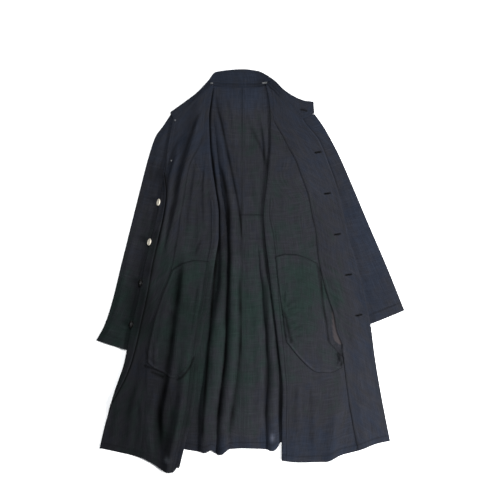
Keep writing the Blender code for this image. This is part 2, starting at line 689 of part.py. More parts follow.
def button_mesh(name):
    """Four-hole button turned about Z: rim, dished face, flat back."""
    r, t = BUTTON_D / 2, BUTTON_WALL
    profile = ((0, -t / 2), (r - 1.2, -t / 2), (r, -t / 2 + 1.0), (r, t / 2 - 0.7), (r - 0.7, t / 2),
               (r - BUTTON_RIM, t / 2), (r - BUTTON_RIM - 0.9, t / 2 - BUTTON_DISH), (0, t / 2 - BUTTON_DISH))
    bm = bmesh.new()
    verts = [bm.verts.new((p[0] / 1000.0, 0, p[1] / 1000.0)) for p in profile]
    edges = [bm.edges.new((a, b)) for a, b in zip(verts, verts[1:])]
    bmesh.ops.spin(bm, geom=verts + edges, cent=(0, 0, 0), axis=(0, 0, 1), angle=2 * math.pi, steps=20)
    bmesh.ops.remove_doubles(bm, verts=bm.verts, dist=0.00002)
    bmesh.ops.dissolve_degenerate(bm, edges=bm.edges, dist=0.00001)
    bmesh.ops.recalc_face_normals(bm, faces=bm.faces)
    mesh = bpy.data.meshes.new(name)
    bm.to_mesh(mesh)
    bm.free()
    return mesh


def hole_mesh(name):
    bm = bmesh.new()
    for i in range(4):
        a = math.pi / 4 + i * math.pi / 2
        off = BUTTON_HOLE_PITCH / 2 * math.sqrt(2) / 1000.0 / math.sqrt(2) * 1.2
        bmesh.ops.create_cone(bm, cap_ends=True, segments=8, radius1=BUTTON_HOLE_D / 2000.0,
                              radius2=BUTTON_HOLE_D / 2000.0, depth=0.02,
                              matrix=Matrix.Translation((off * math.cos(a), off * math.sin(a), 0)))
    mesh = bpy.data.meshes.new(name)
    bm.to_mesh(mesh)
    bm.free()
    return mesh


LINEN = (0.030, 0.036, 0.038)
LINEN_IN = (0.036, 0.042, 0.042)

backs = {h.name: back_grid(h) for h in (LEFT, RIGHT)}
fronts = {h.name: front_grid(h) for h in (LEFT, RIGHT)}
built = {}
for half in (LEFT, RIGHT):
    n = half.name
    built["back_" + n] = sheet("back_" + n, backs[n], CLOTH, LINEN_IN)
    built["front_" + n] = sheet("front_" + n, fronts[n], CLOTH, LINEN)
    built["facing_" + n] = sheet("facing_" + n, facing_grid(half, fronts[n]), CLOTH, LINEN)
    built["pocket_bag_" + n] = sheet("pocket_bag_" + n, pocket_grid(half, fronts[n], POCKET_CELLS), CLOTH, LINEN_IN)
    built["sleeve_" + n] = sheet("sleeve_" + n, sleeve_grid(half, SLEEVE_ROWS), CLOTH, LINEN)
built["collar"] = sheet("collar", collar_grid(backs, fronts), COLLAR_WALL, LINEN)

# buttonholes: slits through the right front and its facing, the first through the collar
for i, (x, y, angle) in enumerate(BUTTONHOLES):
    slit = cutter("slit_%d" % (i + 1), box_mesh("slit_%d" % (i + 1), (*BUTTONHOLE, 60.0)),
                  Matrix.Translation((x / 1000.0, y / 1000.0, 0.0)) @ Matrix.Rotation(math.radians(angle), 4, "Z"))
    for node in (("collar",) if i == 0 else ("front_right", "facing_right")):
        cut(built[node], slit)

# buttons: two lie face down under the left front, four stand on its turned edge
horn = (0.022, 0.020, 0.018)
for i, (y, x_in, tilt) in enumerate(BUTTONS):
    name = "button_%d" % (i + 1)
    angle, radius, strip, start = (float(v) for v in LEFT.turn_start(float(y)))
    x_edge = float(LEFT.edge(float(y)))
    if tilt == 0:
        x = x_edge + x_in
        under = float(LEFT.top(x, float(y))) - CLOTH / 2
        z = (FLOOR_MID + 2 * UNDER_R + CLOTH / 2 + under) / 2
        face = Vector((0, 0, -1))
        along_edge = Vector((0, 1, 0))
    else:
        t = math.radians(tilt)
        z_fold = float(LEFT.top(start, float(y))) + radius
        reach = radius + CLOTH / 2 + BUTTON_SHANK + BUTTON_WALL / 2
        lean = float(LEFT.turn_start(y + 10.0)[3] - LEFT.turn_start(y - 10.0)[3]) / 20.0
        along_edge = Vector((lean, 1, 0)).normalized()
        outward = Vector((-1, lean, 0)).normalized()
        face = outward * math.sin(t) - Vector((0, 0, 1)) * math.cos(t)
        x, y, z = Vector((start, y, z_fold)) + face * reach
    side = along_edge.cross(face)
    turn = Matrix((side, along_edge, face)).transposed().to_4x4()
    turn.translation = Vector((x, y, z)) / 1000.0
    obj = add_object(name, button_mesh(name), material(name + "_resin", horn, 0.25), coat)
    obj.matrix_world = turn
    holes = cutter("holes_%d" % (i + 1), hole_mesh("holes_%d" % (i + 1)), turn)
    cut(obj, holes)
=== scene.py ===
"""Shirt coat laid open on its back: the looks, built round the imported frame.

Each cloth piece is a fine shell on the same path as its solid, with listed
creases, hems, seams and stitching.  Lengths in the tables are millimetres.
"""
import math

import bpy
import bmesh
import numpy as np
from mathutils import Matrix, Vector


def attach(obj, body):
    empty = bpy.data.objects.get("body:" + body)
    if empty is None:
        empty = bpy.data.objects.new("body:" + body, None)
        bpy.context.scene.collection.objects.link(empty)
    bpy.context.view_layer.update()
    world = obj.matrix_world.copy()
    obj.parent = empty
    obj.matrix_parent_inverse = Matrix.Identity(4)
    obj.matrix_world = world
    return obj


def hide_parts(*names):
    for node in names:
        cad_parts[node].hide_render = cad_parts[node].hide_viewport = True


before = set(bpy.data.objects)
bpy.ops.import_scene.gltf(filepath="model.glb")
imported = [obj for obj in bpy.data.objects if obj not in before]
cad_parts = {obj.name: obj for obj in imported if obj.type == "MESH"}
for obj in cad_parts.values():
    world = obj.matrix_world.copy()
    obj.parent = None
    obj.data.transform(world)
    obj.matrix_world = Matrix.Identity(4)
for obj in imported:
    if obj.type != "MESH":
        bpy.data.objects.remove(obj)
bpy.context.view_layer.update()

# ------------------------------------------------------------------ sizes
CLOTH = 1.0            # wall of one layer of cloth
COLLAR_WALL = 2.0      # collar band: two layers sewn as one
SEAM = 0.3             # space between pieces that are sewn together
ON_PANEL = 0.5         # space between a panel and what is sewn flat on it
COLUMN_MIN = 1.3       # least spacing of mesh columns where a seam cuts them off

FLOOR_MID = CLOTH / 2          # mid height of cloth lying on the floor
UNDER_R = 1.5                  # radius of the hidden fold under each front
RETURN_MID = FLOOR_MID + 2 * UNDER_R
STACK_MID = 6.3                # mid height of a front lying over back or sleeve
LOW_MID = 0.7                  # mid height of a front lying on the floor alone
DRAPE = 42.0                   # run over which a front comes down to the floor
DRAPE_CLEAR = 12.0             # run past the layer below before it comes down
ROLL_LOW = 3.0                 # mid height of the underside of a roll

CENTRE_BACK_X = -23.0
UNDERARM_Y = 291.0
SEAM_SLANT = 100.0             # run of the side seam from underarm to under the roll
SHOULDER_TIP_Y = 454.0
ARM_LIP = 5.0                  # lip of the back turned up along the hidden armhole
ARM_GAP = 3.0                  # sleeve to body there

BUTTON_D = 20.0
BUTTON_WALL = 3.0
BUTTON_RIM = 2.2
BUTTON_SHANK = 1.6             # thread between button and cloth
BUTTON_DISH = 0.7
BUTTON_HOLE_D = 2.0
BUTTON_HOLE_PITCH = 4.2
BUTTONHOLE = (22.0, 1.5)       # slit length and width

SLEEVE_ROWS = 12
# Rows of the body pieces, neck to hem; the first and last four follow neck and hem.
ROW_Y = (538, 488, 440, 390, 340, 292, 240, 190, 130, 70, 10, -55, -120, -178, -245, -315, -385, -455, -520)
ROW_BLEND = 4
POCKET_CELLS = 6

# ------------------------------------------------------------------ tables
# Sections from neck to hem.  roll: the fold that shows; height: mid height of
# the roll's crest; seam: side seam's distance from the roll; facing: inner edge
# of the facing; edge: front edge as it lies; under: the hidden fold (armhole
# above the underarm); turn: width of the front edge turned back on itself.
SECTION = ("y", "roll", "height", "seam", "facing", "edge", "under", "turn")
LEFT_SECTIONS = (
    (538, -107, 9, 12, -122, -194, -215, 0),
    (494, -113, 12, 12, -128, -203, -207, 0),
    (442, -119, 15, 12, -131, -219, -197, 0),
    (378, -117, 18, 12, -139, -232, -183, 0),
    (306, -111, 21, 12, -171, -245, -168, 6),
    (233, -100, 22, 12, -186, -255, -174, 13),
    (164, -91, 22, 12, -197, -268, -183, 17),
    (103, -91, 21, 12, -207, -283, -191, 19),
    (25, -102, 19, 13, -220, -302, -203, 20),
    (-77, -117, 18, 13, -258, -323, -220, 23),
    (-173, -136, 18, 12, -286, -345, -235, 24),
    (-260, -148, 18, 12, -299, -362, -246, 19),
    (-355, -158, 17, 12, -296, -394, -255, 12),
    (-434, -171, 15, 12, -302, -416, -261, 4),
    (-515, -191, 12, 12, -309, -434, -267, 0),
)
RIGHT_SECTIONS = (
    (538, 46, 8, 14, 60, 136, 171, 0),
    (494, 55, 9, 14, 66, 141, 161, 0),
    (442, 59, 10, 14, 70, 152, 148, 0),
    (378, 59, 12, 14, 99, 199, 130, 0),
    (306, 54, 13, 14, 138, 229, 112, 0),
    (233, 46, 13, 15, 164, 254, 119, 0),
    (164, 39, 12, 17, 181, 271, 132, 0),
    (103, 43, 12, 24, 191, 284, 142, 0),
    (25, 52, 13, 25, 200, 307, 157, 0),
    (-77, 64, 14, 18, 213, 334, 174, 0),
    (-173, 76, 15, 15, 236, 352, 186, 0),
    (-260, 86, 15, 13, 268, 364, 194, 0),
    (-355, 94, 15, 12, 283, 380, 203, 0),
    (-434, 92, 14, 13, 296, 395, 210, 0),
    (-515, 92, 11, 13, 312, 411, 218, 0),
)
ROLL_R = {"left": 8.0, "right": 7.0}          # half width of the roll
ROLL_RUN = {"left": 46.0, "right": 38.0}      # run of its slope on to the front
EDGE_LIFT = {"left": 3.0, "right": 0.0}       # front edge held up by the buttons
EDGE_LIFT_RUN = 26.0
IN_TURN = 1.4                                 # space to the facing inside the turn
TURN_R = 4.0                                  # bend of the turned front edge
TURN_LEAN = 0.88                              # share of a full turn: the strip leans up
ROLL_TIP = 0.45                               # tip of a roll, between its middle and crest

# Folds standing up from a panel: crest x at six heights, crest height at the
# same six, half width.  Those of the back lie between centre back and the roll.
FOLD_Y = (442, 306, 164, -86, -315, -520)
FOLD = ("panel", "crest_x", "crest_h", "half_width")
FOLDS = (
    ("back_left", (-99, -76, -50, -49, -64, -82), (3, 6, 8, 10, 12, 12), 11.0),
    ("back_left", (-111, -100, -77, -91, -119, -134), (0, 1, 6, 11, 12, 10), 9.5),
    ("back_right", (30, 34, 22, 50, 74, 68), (2, 3, 0, 7, 11, 10), 8.0),
    ("front_left", (-160, -188, -206, -182, -193, -226), (2, 4, 3, 3, 9, 15), 18.0),
    ("front_left", (-150, -168, -186, -262, -300, -318), (3, 4, 3, 3, 4, 4), 20.0),
    ("front_right", (110, 150, 205, 250, 262, 236), (3, 3, 2, 3, 4, 6), 20.0),
    ("front_right", (120, 190, 225, 282, 320, 330), (0, 2, 2, 2, 3, 4), 22.0),
)

# Hems and neck, as they lie: x and y.
HEM = ("x", "y")
BACK_HEM = ((-191, -519), (-168, -519), (-157, -522), (-145, -525), (-133, -528), (-122, -525), (-110, -519.5),
            (-105, -524), (-99, -531), (-87, -534.5), (-75, -529), (-64, -520), (-52, -517), (-23, -516),
            (41, -514), (52, -519), (64, -523), (75, -517), (84, -506))
LEFT_HEM = ((-434, -516), (-377, -528), (-319, -542), (-276, -563), (-252, -578), (-238, -583),
            (-226, -584), (-217, -578), (-208, -560), (-200, -541), (-191, -518))
RIGHT_HEM = ((92, -549), (99, -551), (145, -556), (218, -554), (261, -537), (313, -523),
             (371, -502), (411, -494))
HIDDEN_HEM_Y = -513.0                         # layers under the fronts
SEAM_HEM_Y = {"left": -520.0, "right": -522.0}
NECK_BACK_Y = (532.0, 538.0)                  # at centre back, at the rolls
NECK_FRONT_Y = {"left": 439.0, "right": 442.0}

# Sleeves lying flat: outer edge from shoulder to cuff, then the inner edge.
SLEEVE_OUTER = {
    "left": ((454, -229), (419, -252), (390, -273), (332, -293), (245, -316),
             (129, -345), (13, -374), (-103, -403), (-161, -423), (-203, -446)),
    "right": ((454, 187), (419, 212), (390, 229), (332, 259), (245, 297),
              (129, 346), (13, 396), (-116, 448)),
}
SLEEVE_INNER = {"left": ((270, -188), (-246, -303)), "right": ((270, 134), (-173, 307))}
CUFF_Y = {"left": (-246.0, -203.0), "right": (-173.0, -116.0)}   # inner, outer
SLEEVE_PUFF = {"left": 2.0, "right": 0.9}       # rise of the part that shows

# Pocket bags: share of the way from side seam to facing, top y, bottom y.
POCKET = ("share", "top", "bottom")
POCKETS = {
    "left": ((0.0, 25, -216), (0.2, 28, -272), (0.4, 29, -310), (0.7, 22, -290), (1.0, 2, -248)),
    "right": ((0.0, 39, -207), (0.25, 47, -262), (0.5, 46, -294), (0.75, 36, -296), (1.0, 20, -280)),
}
POCKET_GAP = 1.1                              # a bag is fuller than a facing
POCKET_INSET = (0.5, 0.1)                     # share of a column, at seam and facing
FACING_SHORT = {"neck": 0.05, "hem": 0.08, "edge": 0.15}   # share of a row or column

# Collar's free edge: share of the neck seam from its left end, then x, y, z.
COLLAR = ("share", "x", "y", "z")
COLLAR_EDGE = (
    (0.00, -231, 458, 9.0), (0.12, -188, 489, 8.0), (0.22, -154, 515, 7.0),
    (0.33, -123, 548, 4.5), (0.38, -99, 576, 1.6), (0.50, -23, 584.2, 1.0),
    (0.61, 23, 579, 1.3), (0.68, 70, 552, 4.0), (0.77, 98, 524, 6.5),
    (0.89, 136, 500, 7.0), (1.00, 158, 491.5, 7.5),
)
COLLAR_TAB = ((186, 457, 7.6), (184, 489, 7.6))   # right end past the front edge

# Buttons: y along the left front edge, tilt of the face from straight down.
BUTTON = ("y", "x_in", "tilt")
BUTTONS = ((441, 9, 0), (316, 18, 0), (196, 0, 118), (81, 0, 122), (-36, 0, 132), (-156, 0, 134))
# Buttonholes: centre x, y, angle.  The first is in the collar.
BUTTONHOLES = ((156, 464, -14), (197, 342, 8), (224, 223, 8), (253, 105, 8), (285, -12, 9), (315, -129, 9))


# ------------------------------------------------------------------ curves
def smooth_curve(points):
    """Shape-keeping cubic through (at, value) points, straight beyond its ends."""
    points = sorted(points)
    at = np.array([p[0] for p in points], float)
    value = np.array([p[1] for p in points], float)
    run, rise = np.diff(at), np.diff(value)
    slope = rise / run
    tangent = np.empty_like(at)
    tangent[0], tangent[-1] = slope[0], slope[-1]
    for i in range(1, len(at) - 1):
        a, b = slope[i - 1], slope[i]
        tangent[i] = 0.0 if a * b <= 0 else 2 * a * b / (a + b)

    def curve(t):
        t = np.asarray(t, float)
        i = np.clip(np.searchsorted(at, t) - 1, 0, len(at) - 2)
        h = run[i]
        u = (t - at[i]) / h
        inside = ((2 * u**3 - 3 * u**2 + 1) * value[i] + (u**3 - 2 * u**2 + u) * h * tangent[i]
                  + (3 * u**2 - 2 * u**3) * value[i + 1] + (u**3 - u**2) * h * tangent[i + 1])
        low = value[0] + (t - at[0]) * tangent[0]
        high = value[-1] + (t - at[-1]) * tangent[-1]
        return np.where(u < 0, low, np.where((t > at[-1]), high, inside))
    return curve


def column(rows, names, key):
    k = names.index(key)
    return smooth_curve([(row[0], row[k]) for row in rows])


def ease(t):
    t = np.clip(t, 0.0, 1.0)
    return t * t * (3 - 2 * t)


class Fold:
    def __init__(self, row):
        self.panel = row[0]
        self.x = smooth_curve(list(zip(FOLD_Y, row[1])))
        self.h = smooth_curve(list(zip(FOLD_Y, row[2])))
        self.w = row[3]

    def rise(self, x, y):
        return np.maximum(self.h(y), 0.0) * np.exp(-((x - self.x(y)) / self.w) ** 2)


class Half:
    """One half of the coat: its path from centre back to front edge."""

    def __init__(self, name, sections):
        self.name = name
        self.d = -1.0 if name == "left" else 1.0
        for key in SECTION[1:]:
            setattr(self, key, column(sections, SECTION, key))
        self.r = ROLL_R[name]
        self.outer = smooth_curve(SLEEVE_OUTER[name])
        arm = [(y, float(self.under(y)) + self.d * ARM_GAP) for y in (SHOULDER_TIP_Y, 378, 312)]
        self.inner = smooth_curve(arm + list(SLEEVE_INNER[name]))
        self.hem = smooth_curve(LEFT_HEM if name == "left" else RIGHT_HEM)
        self.back_folds = [f for f in map(Fold, FOLDS) if f.panel == "back_" + name]
        self.front_folds = [f for f in map(Fold, FOLDS) if f.panel == "front_" + name]

    # ---- heights
    def cover(self, x, y):
        """1 where back or sleeve lies under the front, 0 on the bare floor."""
        d = self.d
        past_fold = d * (x - self.under(y)) - UNDER_R
        across = np.clip((x - self.inner(y)) / (self.outer(y) - self.inner(y)), 0, 1)
        cuff = CUFF_Y[self.name][0] + across * (CUFF_Y[self.name][1] - CUFF_Y[self.name][0])
        past_sleeve = np.maximum.reduce([d * (self.inner(y) - x), d * (x - self.outer(y)), cuff - y])
        bare = [ease((past - DRAPE_CLEAR) / DRAPE) for past in (past_fold, past_sleeve)]
        return 1 - bare[0] * bare[1]

    def top(self, x, y):
        """Mid height of the upper layer, from the roll's crest to the front edge."""
        d = self.d
        base = LOW_MID + (STACK_MID - LOW_MID) * self.cover(x, y)
        past = np.maximum(d * (x - self.roll(y)) - self.r, 0.0)
        z = base + (self.height(y) - base) * np.exp(-(past / ROLL_RUN[self.name]) ** 2)
        level = ease(past / 30.0) * ease(d * (self.edge(y) - x) / 30.0 + 0.15)
        for fold in self.front_folds:
            z = z + level * fold.rise(x, y)
        lift = EDGE_LIFT[self.name] * ease((y + 330.0) / 120.0)
        return z + lift * np.exp(-(d * (self.edge(y) - x) / EDGE_LIFT_RUN) ** 2)

    def floor(self, x, y):
        """Mid height of the back lying on the floor, before its standing folds."""
        return np.full(np.shape(x), FLOOR_MID)

    # ---- the path
    def lengths(self, y):
        nose = (self.height(y) - ROLL_LOW) / 2
        quarter = math.pi / 2 * np.sqrt((self.r**2 + nose**2) / 2)
        back_run = self.d * (self.under(y) - self.roll(y)) - self.r
        return nose, quarter, back_run

    def at_floor(self, y, x):
        nose, quarter, back_run = self.lengths(y)
        return -(quarter + back_run + math.pi * UNDER_R + self.d * (self.under(y) - x))

    def at_top(self, y, x):
        nose, quarter, back_run = self.lengths(y)
        return quarter + self.d * (x - self.roll(y)) - self.r

    def turn_start(self, y):
        """Front edge turned back: share turned, bend radius, strip, where it starts."""
        g = ease(self.turn(y) / 16.0)
        angle = TURN_LEAN * math.pi * g
        radius = TURN_R
        strip = 6.0 + np.maximum(self.turn(y) - 6.0, 0.0) * g
        reach = np.where(angle >= math.pi / 2, radius, radius * np.sin(angle) + strip * np.cos(angle))
        return angle, radius, strip, self.edge(y) - self.d * reach

    def point(self, y, s):
        """Point (x, z) of the path at section y, run s from the roll's tip."""
        d, r = self.d, self.r
        nose, quarter, back_run = self.lengths(y)
        mid = (self.height(y) + ROLL_LOW) / 2
        xn = self.roll(y) + d * r
        a = np.clip(np.abs(s) / quarter, 0, 1) * math.pi / 2
        x = xn - d * r * np.cos(a)
        tip = mid + ROLL_TIP * nose
        z = tip + np.where(s > 0, self.height(y) - tip, ROLL_LOW - tip) * np.sin(a)
        # upper layer
        far = s > quarter
        xt = xn + d * (s - quarter)
        angle, radius, strip, start = self.turn_start(y)
        turned = (d * (xt - start) > 0) & (self.turn(y) + d * 0 >= 0) & (self.name == "left")
        xt_flat = np.where(turned, start, xt)
        zt = self.top(xt_flat, y)
        over = np.where(turned, d * (xt - start), 0.0)
        arc = np.minimum(over, radius * angle)
        bend = arc / radius
        rest = over - arc
        xt_bent = start + d * (radius * np.sin(bend) + rest * np.cos(bend))
        zt_bent = zt + radius * (1 - np.cos(bend)) + rest * np.sin(bend)
        x = np.where(far, np.where(turned, xt_bent, xt), x)
        z = np.where(far, np.where(turned, zt_bent, zt), z)
        # lower layer: the run back, the hidden fold, the floor
        low = -s - quarter
        share = np.clip(low / back_run, 0, 1)
        on_return = (low > 0) & (low <= back_run)
        x = np.where(on_return, xn + d * low, x)
        z = np.where(on_return, ROLL_LOW + (RETURN_MID - ROLL_LOW) * share, z)
        b = (low - back_run) / UNDER_R
        on_fold = (b > 0) & (b <= math.pi)
        x = np.where(on_fold, self.under(y) + d * UNDER_R * np.sin(b), x)
        z = np.where(on_fold, FLOOR_MID + UNDER_R + UNDER_R * np.cos(b), z)
        flat = low - back_run - math.pi * UNDER_R
        xf = self.under(y) - d * flat
        x = np.where(flat > 0, xf, x)
        z = np.where(flat > 0, self.floor(xf, y), z)
        return x, z

    def inside(self, y, s, out):
        """Path point moved to the cloth's inner side by out."""
        e = 0.4
        x0, z0 = self.point(y, s - e)
        x1, z1 = self.point(y, s + e)
        n = np.hypot(x1 - x0, z1 - z0)
        x, z = self.point(y, s)
        return x - self.d * out * (z1 - z0) / n, z + self.d * out * (x1 - x0) / n

    # ---- seams
    def seam_at(self, y):
        """Side seam along the path: by the hidden fold at the armhole, then under the roll."""
        nose, quarter, back_run = self.lengths(y)
        arm = -(quarter + back_run) + ARM_LIP
        return arm + ease((UNDERARM_Y - y) / SEAM_SLANT) * (-quarter - arm)

    def back_end(self, y):
        return self.seam_at(y) - SEAM / 2

    def front_start(self, y):
        return self.seam_at(y) + SEAM / 2

    def front_end(self, y):
        angle, radius, strip, start = self.turn_start(y)
        flat = self.at_top(y, self.edge(y))
        if self.name == "right":
            return flat
        return self.at_top(y, start) + radius * angle + strip

    def shoulder_y(self, x):
        span = self.d * (self.under(SHOULDER_TIP_Y) - self.roll(NECK_BACK_Y[1]))
        share = np.clip(self.d * (x - self.roll(NECK_BACK_Y[1])) / span, 0, 1)
        return NECK_BACK_Y[1] + share * (SHOULDER_TIP_Y - NECK_BACK_Y[1])

    def neck_front_y(self, share):
        return NECK_BACK_Y[1] + share * (NECK_FRONT_Y[self.name] - NECK_BACK_Y[1])


LEFT = Half("left", LEFT_SECTIONS)
RIGHT = Half("right", RIGHT_SECTIONS)
BACK_HEM_Y = smooth_curve(BACK_HEM)


# ------------------------------------------------------------------ grids of points
def back_columns(half):
    """Columns from centre back to side seam: run along the path as f(y), top y, hem y."""
    d = half.d
    cols = []

    def on_floor(x_of_y):
        x_neck, x_hem = float(x_of_y(535.0)), float(x_of_y(-515.0))
        shown = d * (half.roll(538.0) - x_neck) >= 0
        share = abs((x_neck - CENTRE_BACK_X) / float(half.roll(538.0) - CENTRE_BACK_X))
        top = NECK_BACK_Y[0] + (NECK_BACK_Y[1] - NECK_BACK_Y[0]) * min(share, 1.0) ** 2
        top = top if shown else float(half.shoulder_y(x_neck))
        seen = d * (half.roll(-515.0) - x_hem) >= 0
        hem = float(BACK_HEM_Y(x_hem)) if seen else HIDDEN_HEM_Y
        cols.append((lambda y, f=x_of_y: half.at_floor(y, f(y)), top, hem))

    marks = [lambda y: CENTRE_BACK_X + d * SEAM / 2 + 0 * y]
    for fold in half.back_folds:
        for side in (-2.2, -1.1, 0.0, 0.9):
            marks.append(lambda y, f=fold, k=side: f.x(y) + d * k * f.w)
    marks.append(lambda y: half.roll(y) - d * 1.5)

    def spread(y, i, n=len(marks)):
        """Mark i between centre back and roll, kept in order and apart."""
        y = np.asarray(y, float)
        raw = [d * (m(y) - CENTRE_BACK_X) for m in marks]
        out = raw[0]
        for k in range(1, i + 1):
            out = np.maximum(raw[k], out + 3.0)
        return CENTRE_BACK_X + d * np.minimum(out, raw[-1] - 3.0 * (n - 1 - i))

    for i in range(len(marks)):
        on_floor(lambda y, i=i: spread(y, i))
    for share in (0.3, 0.65, 0.97):
        on_floor(lambda y, k=share: half.roll(y) + k * (half.under(y) - half.roll(y)))

    def along(kind, k):
        def run(y):
            nose, quarter, back_run = half.lengths(y)
            return -(quarter + back_run + UNDER_R * math.pi * k) if kind == "fold" else -(quarter + back_run * k)
        return run

    for kind, k in (("fold", 0.8), ("fold", 0.5), ("fold", 0.2), ("return", 0.7), ("return", 0.3)):
        cols.append((along(kind, k), SHOULDER_TIP_Y, HIDDEN_HEM_Y))
    cols.append((half.back_end, SHOULDER_TIP_Y, SEAM_HEM_Y[half.name]))
    return cols


def front_columns(half):
    """Columns from side seam to front edge, with the turned edge on the left."""
    d = half.d
    crest_hem = float(half.roll(-530.0)) + d * half.r
    crest_neck = float(half.roll(538.0)) + d * half.r
    neck = float((half.facing(520.0) - crest_neck) / (half.edge(520.0) - crest_neck))
    seam_hem = SEAM_HEM_Y[half.name]
    crest_hem_y = float(half.hem(crest_hem))
    cols = [(half.front_start, SHOULDER_TIP_Y, seam_hem)]

    def lower(kind, k):
        def run(y):
            nose, quarter, back_run = half.lengths(y)
            return -(quarter + back_run * k) if kind == "return" else quarter * k
        return run

    mid = float(half.roll(500.0) + 0.5 * (half.under(500.0) - half.roll(500.0)))
    cols.append((lower("return", 0.5), float(half.shoulder_y(mid)), seam_hem))
    for k in (-1.0, -0.5, 0.0, 0.5, 1.0):
        hem = seam_hem + (k + 1) / 2 * (crest_hem_y - seam_hem)
        cols.append((lower("nose", k), NECK_BACK_Y[1] - 1.0, hem))

    def flat_end(y):
        return half.at_top(y, half.turn_start(y)[3]) if half.name == "left" else half.front_end(y)

    def inner(k):
        def run(y):
            nose, quarter, back_run = half.lengths(y)
            return quarter + k * (half.at_top(y, half.facing(y)) - quarter)
        return run

    def outer(k):
        def run(y):
            line = half.at_top(y, half.facing(y))
            return line + k * (flat_end(y) - line)
        return run

    facing_hem, edge_hem = float(half.facing(-530.0)), float(half.edge(-505.0))
    for k in INNER_SHARES:
        x = crest_hem + k * (facing_hem - crest_hem)
        cols.append((inner(k), float(half.neck_front_y(neck * k)), float(half.hem(x))))
    for k in OUTER_SHARES:
        x = facing_hem + k * (edge_hem - facing_hem)
        cols.append((outer(k), float(half.neck_front_y(neck + k * (1 - neck))), float(half.hem(x))))
    if half.name == "left":
        def turned(bend, lead, strip_share):
            def run(y):
                angle, radius, strip, start = half.turn_start(y)
                return half.at_top(y, start) + np.maximum(bend * radius * angle, lead) + strip_share * strip
            return run
        top, hem = cols[-1][1:]
        for bend, lead, strip_share in TURN_COLUMNS:
            cols.append((turned(bend, lead, strip_share), top, hem))
    return cols


INNER_SHARES = (0.12, 0.3, 0.5, 0.75, 1.0)      # roll's crest to facing line
OUTER_SHARES = (0.25, 0.5, 0.75, 1.0)           # facing line to front edge
TURN_COLUMNS = ((0.25, 0.6, 0.0), (0.5, 1.2, 0.0), (0.75, 1.8, 0.0), (1.0, 2.4, 0.0), (1.0, 2.4, 0.5), (1.0, 2.4, 1.0))
CREST = 6                                       # front column on the roll's crest
FACING = CREST + len(INNER_SHARES)              # front column on the facing line
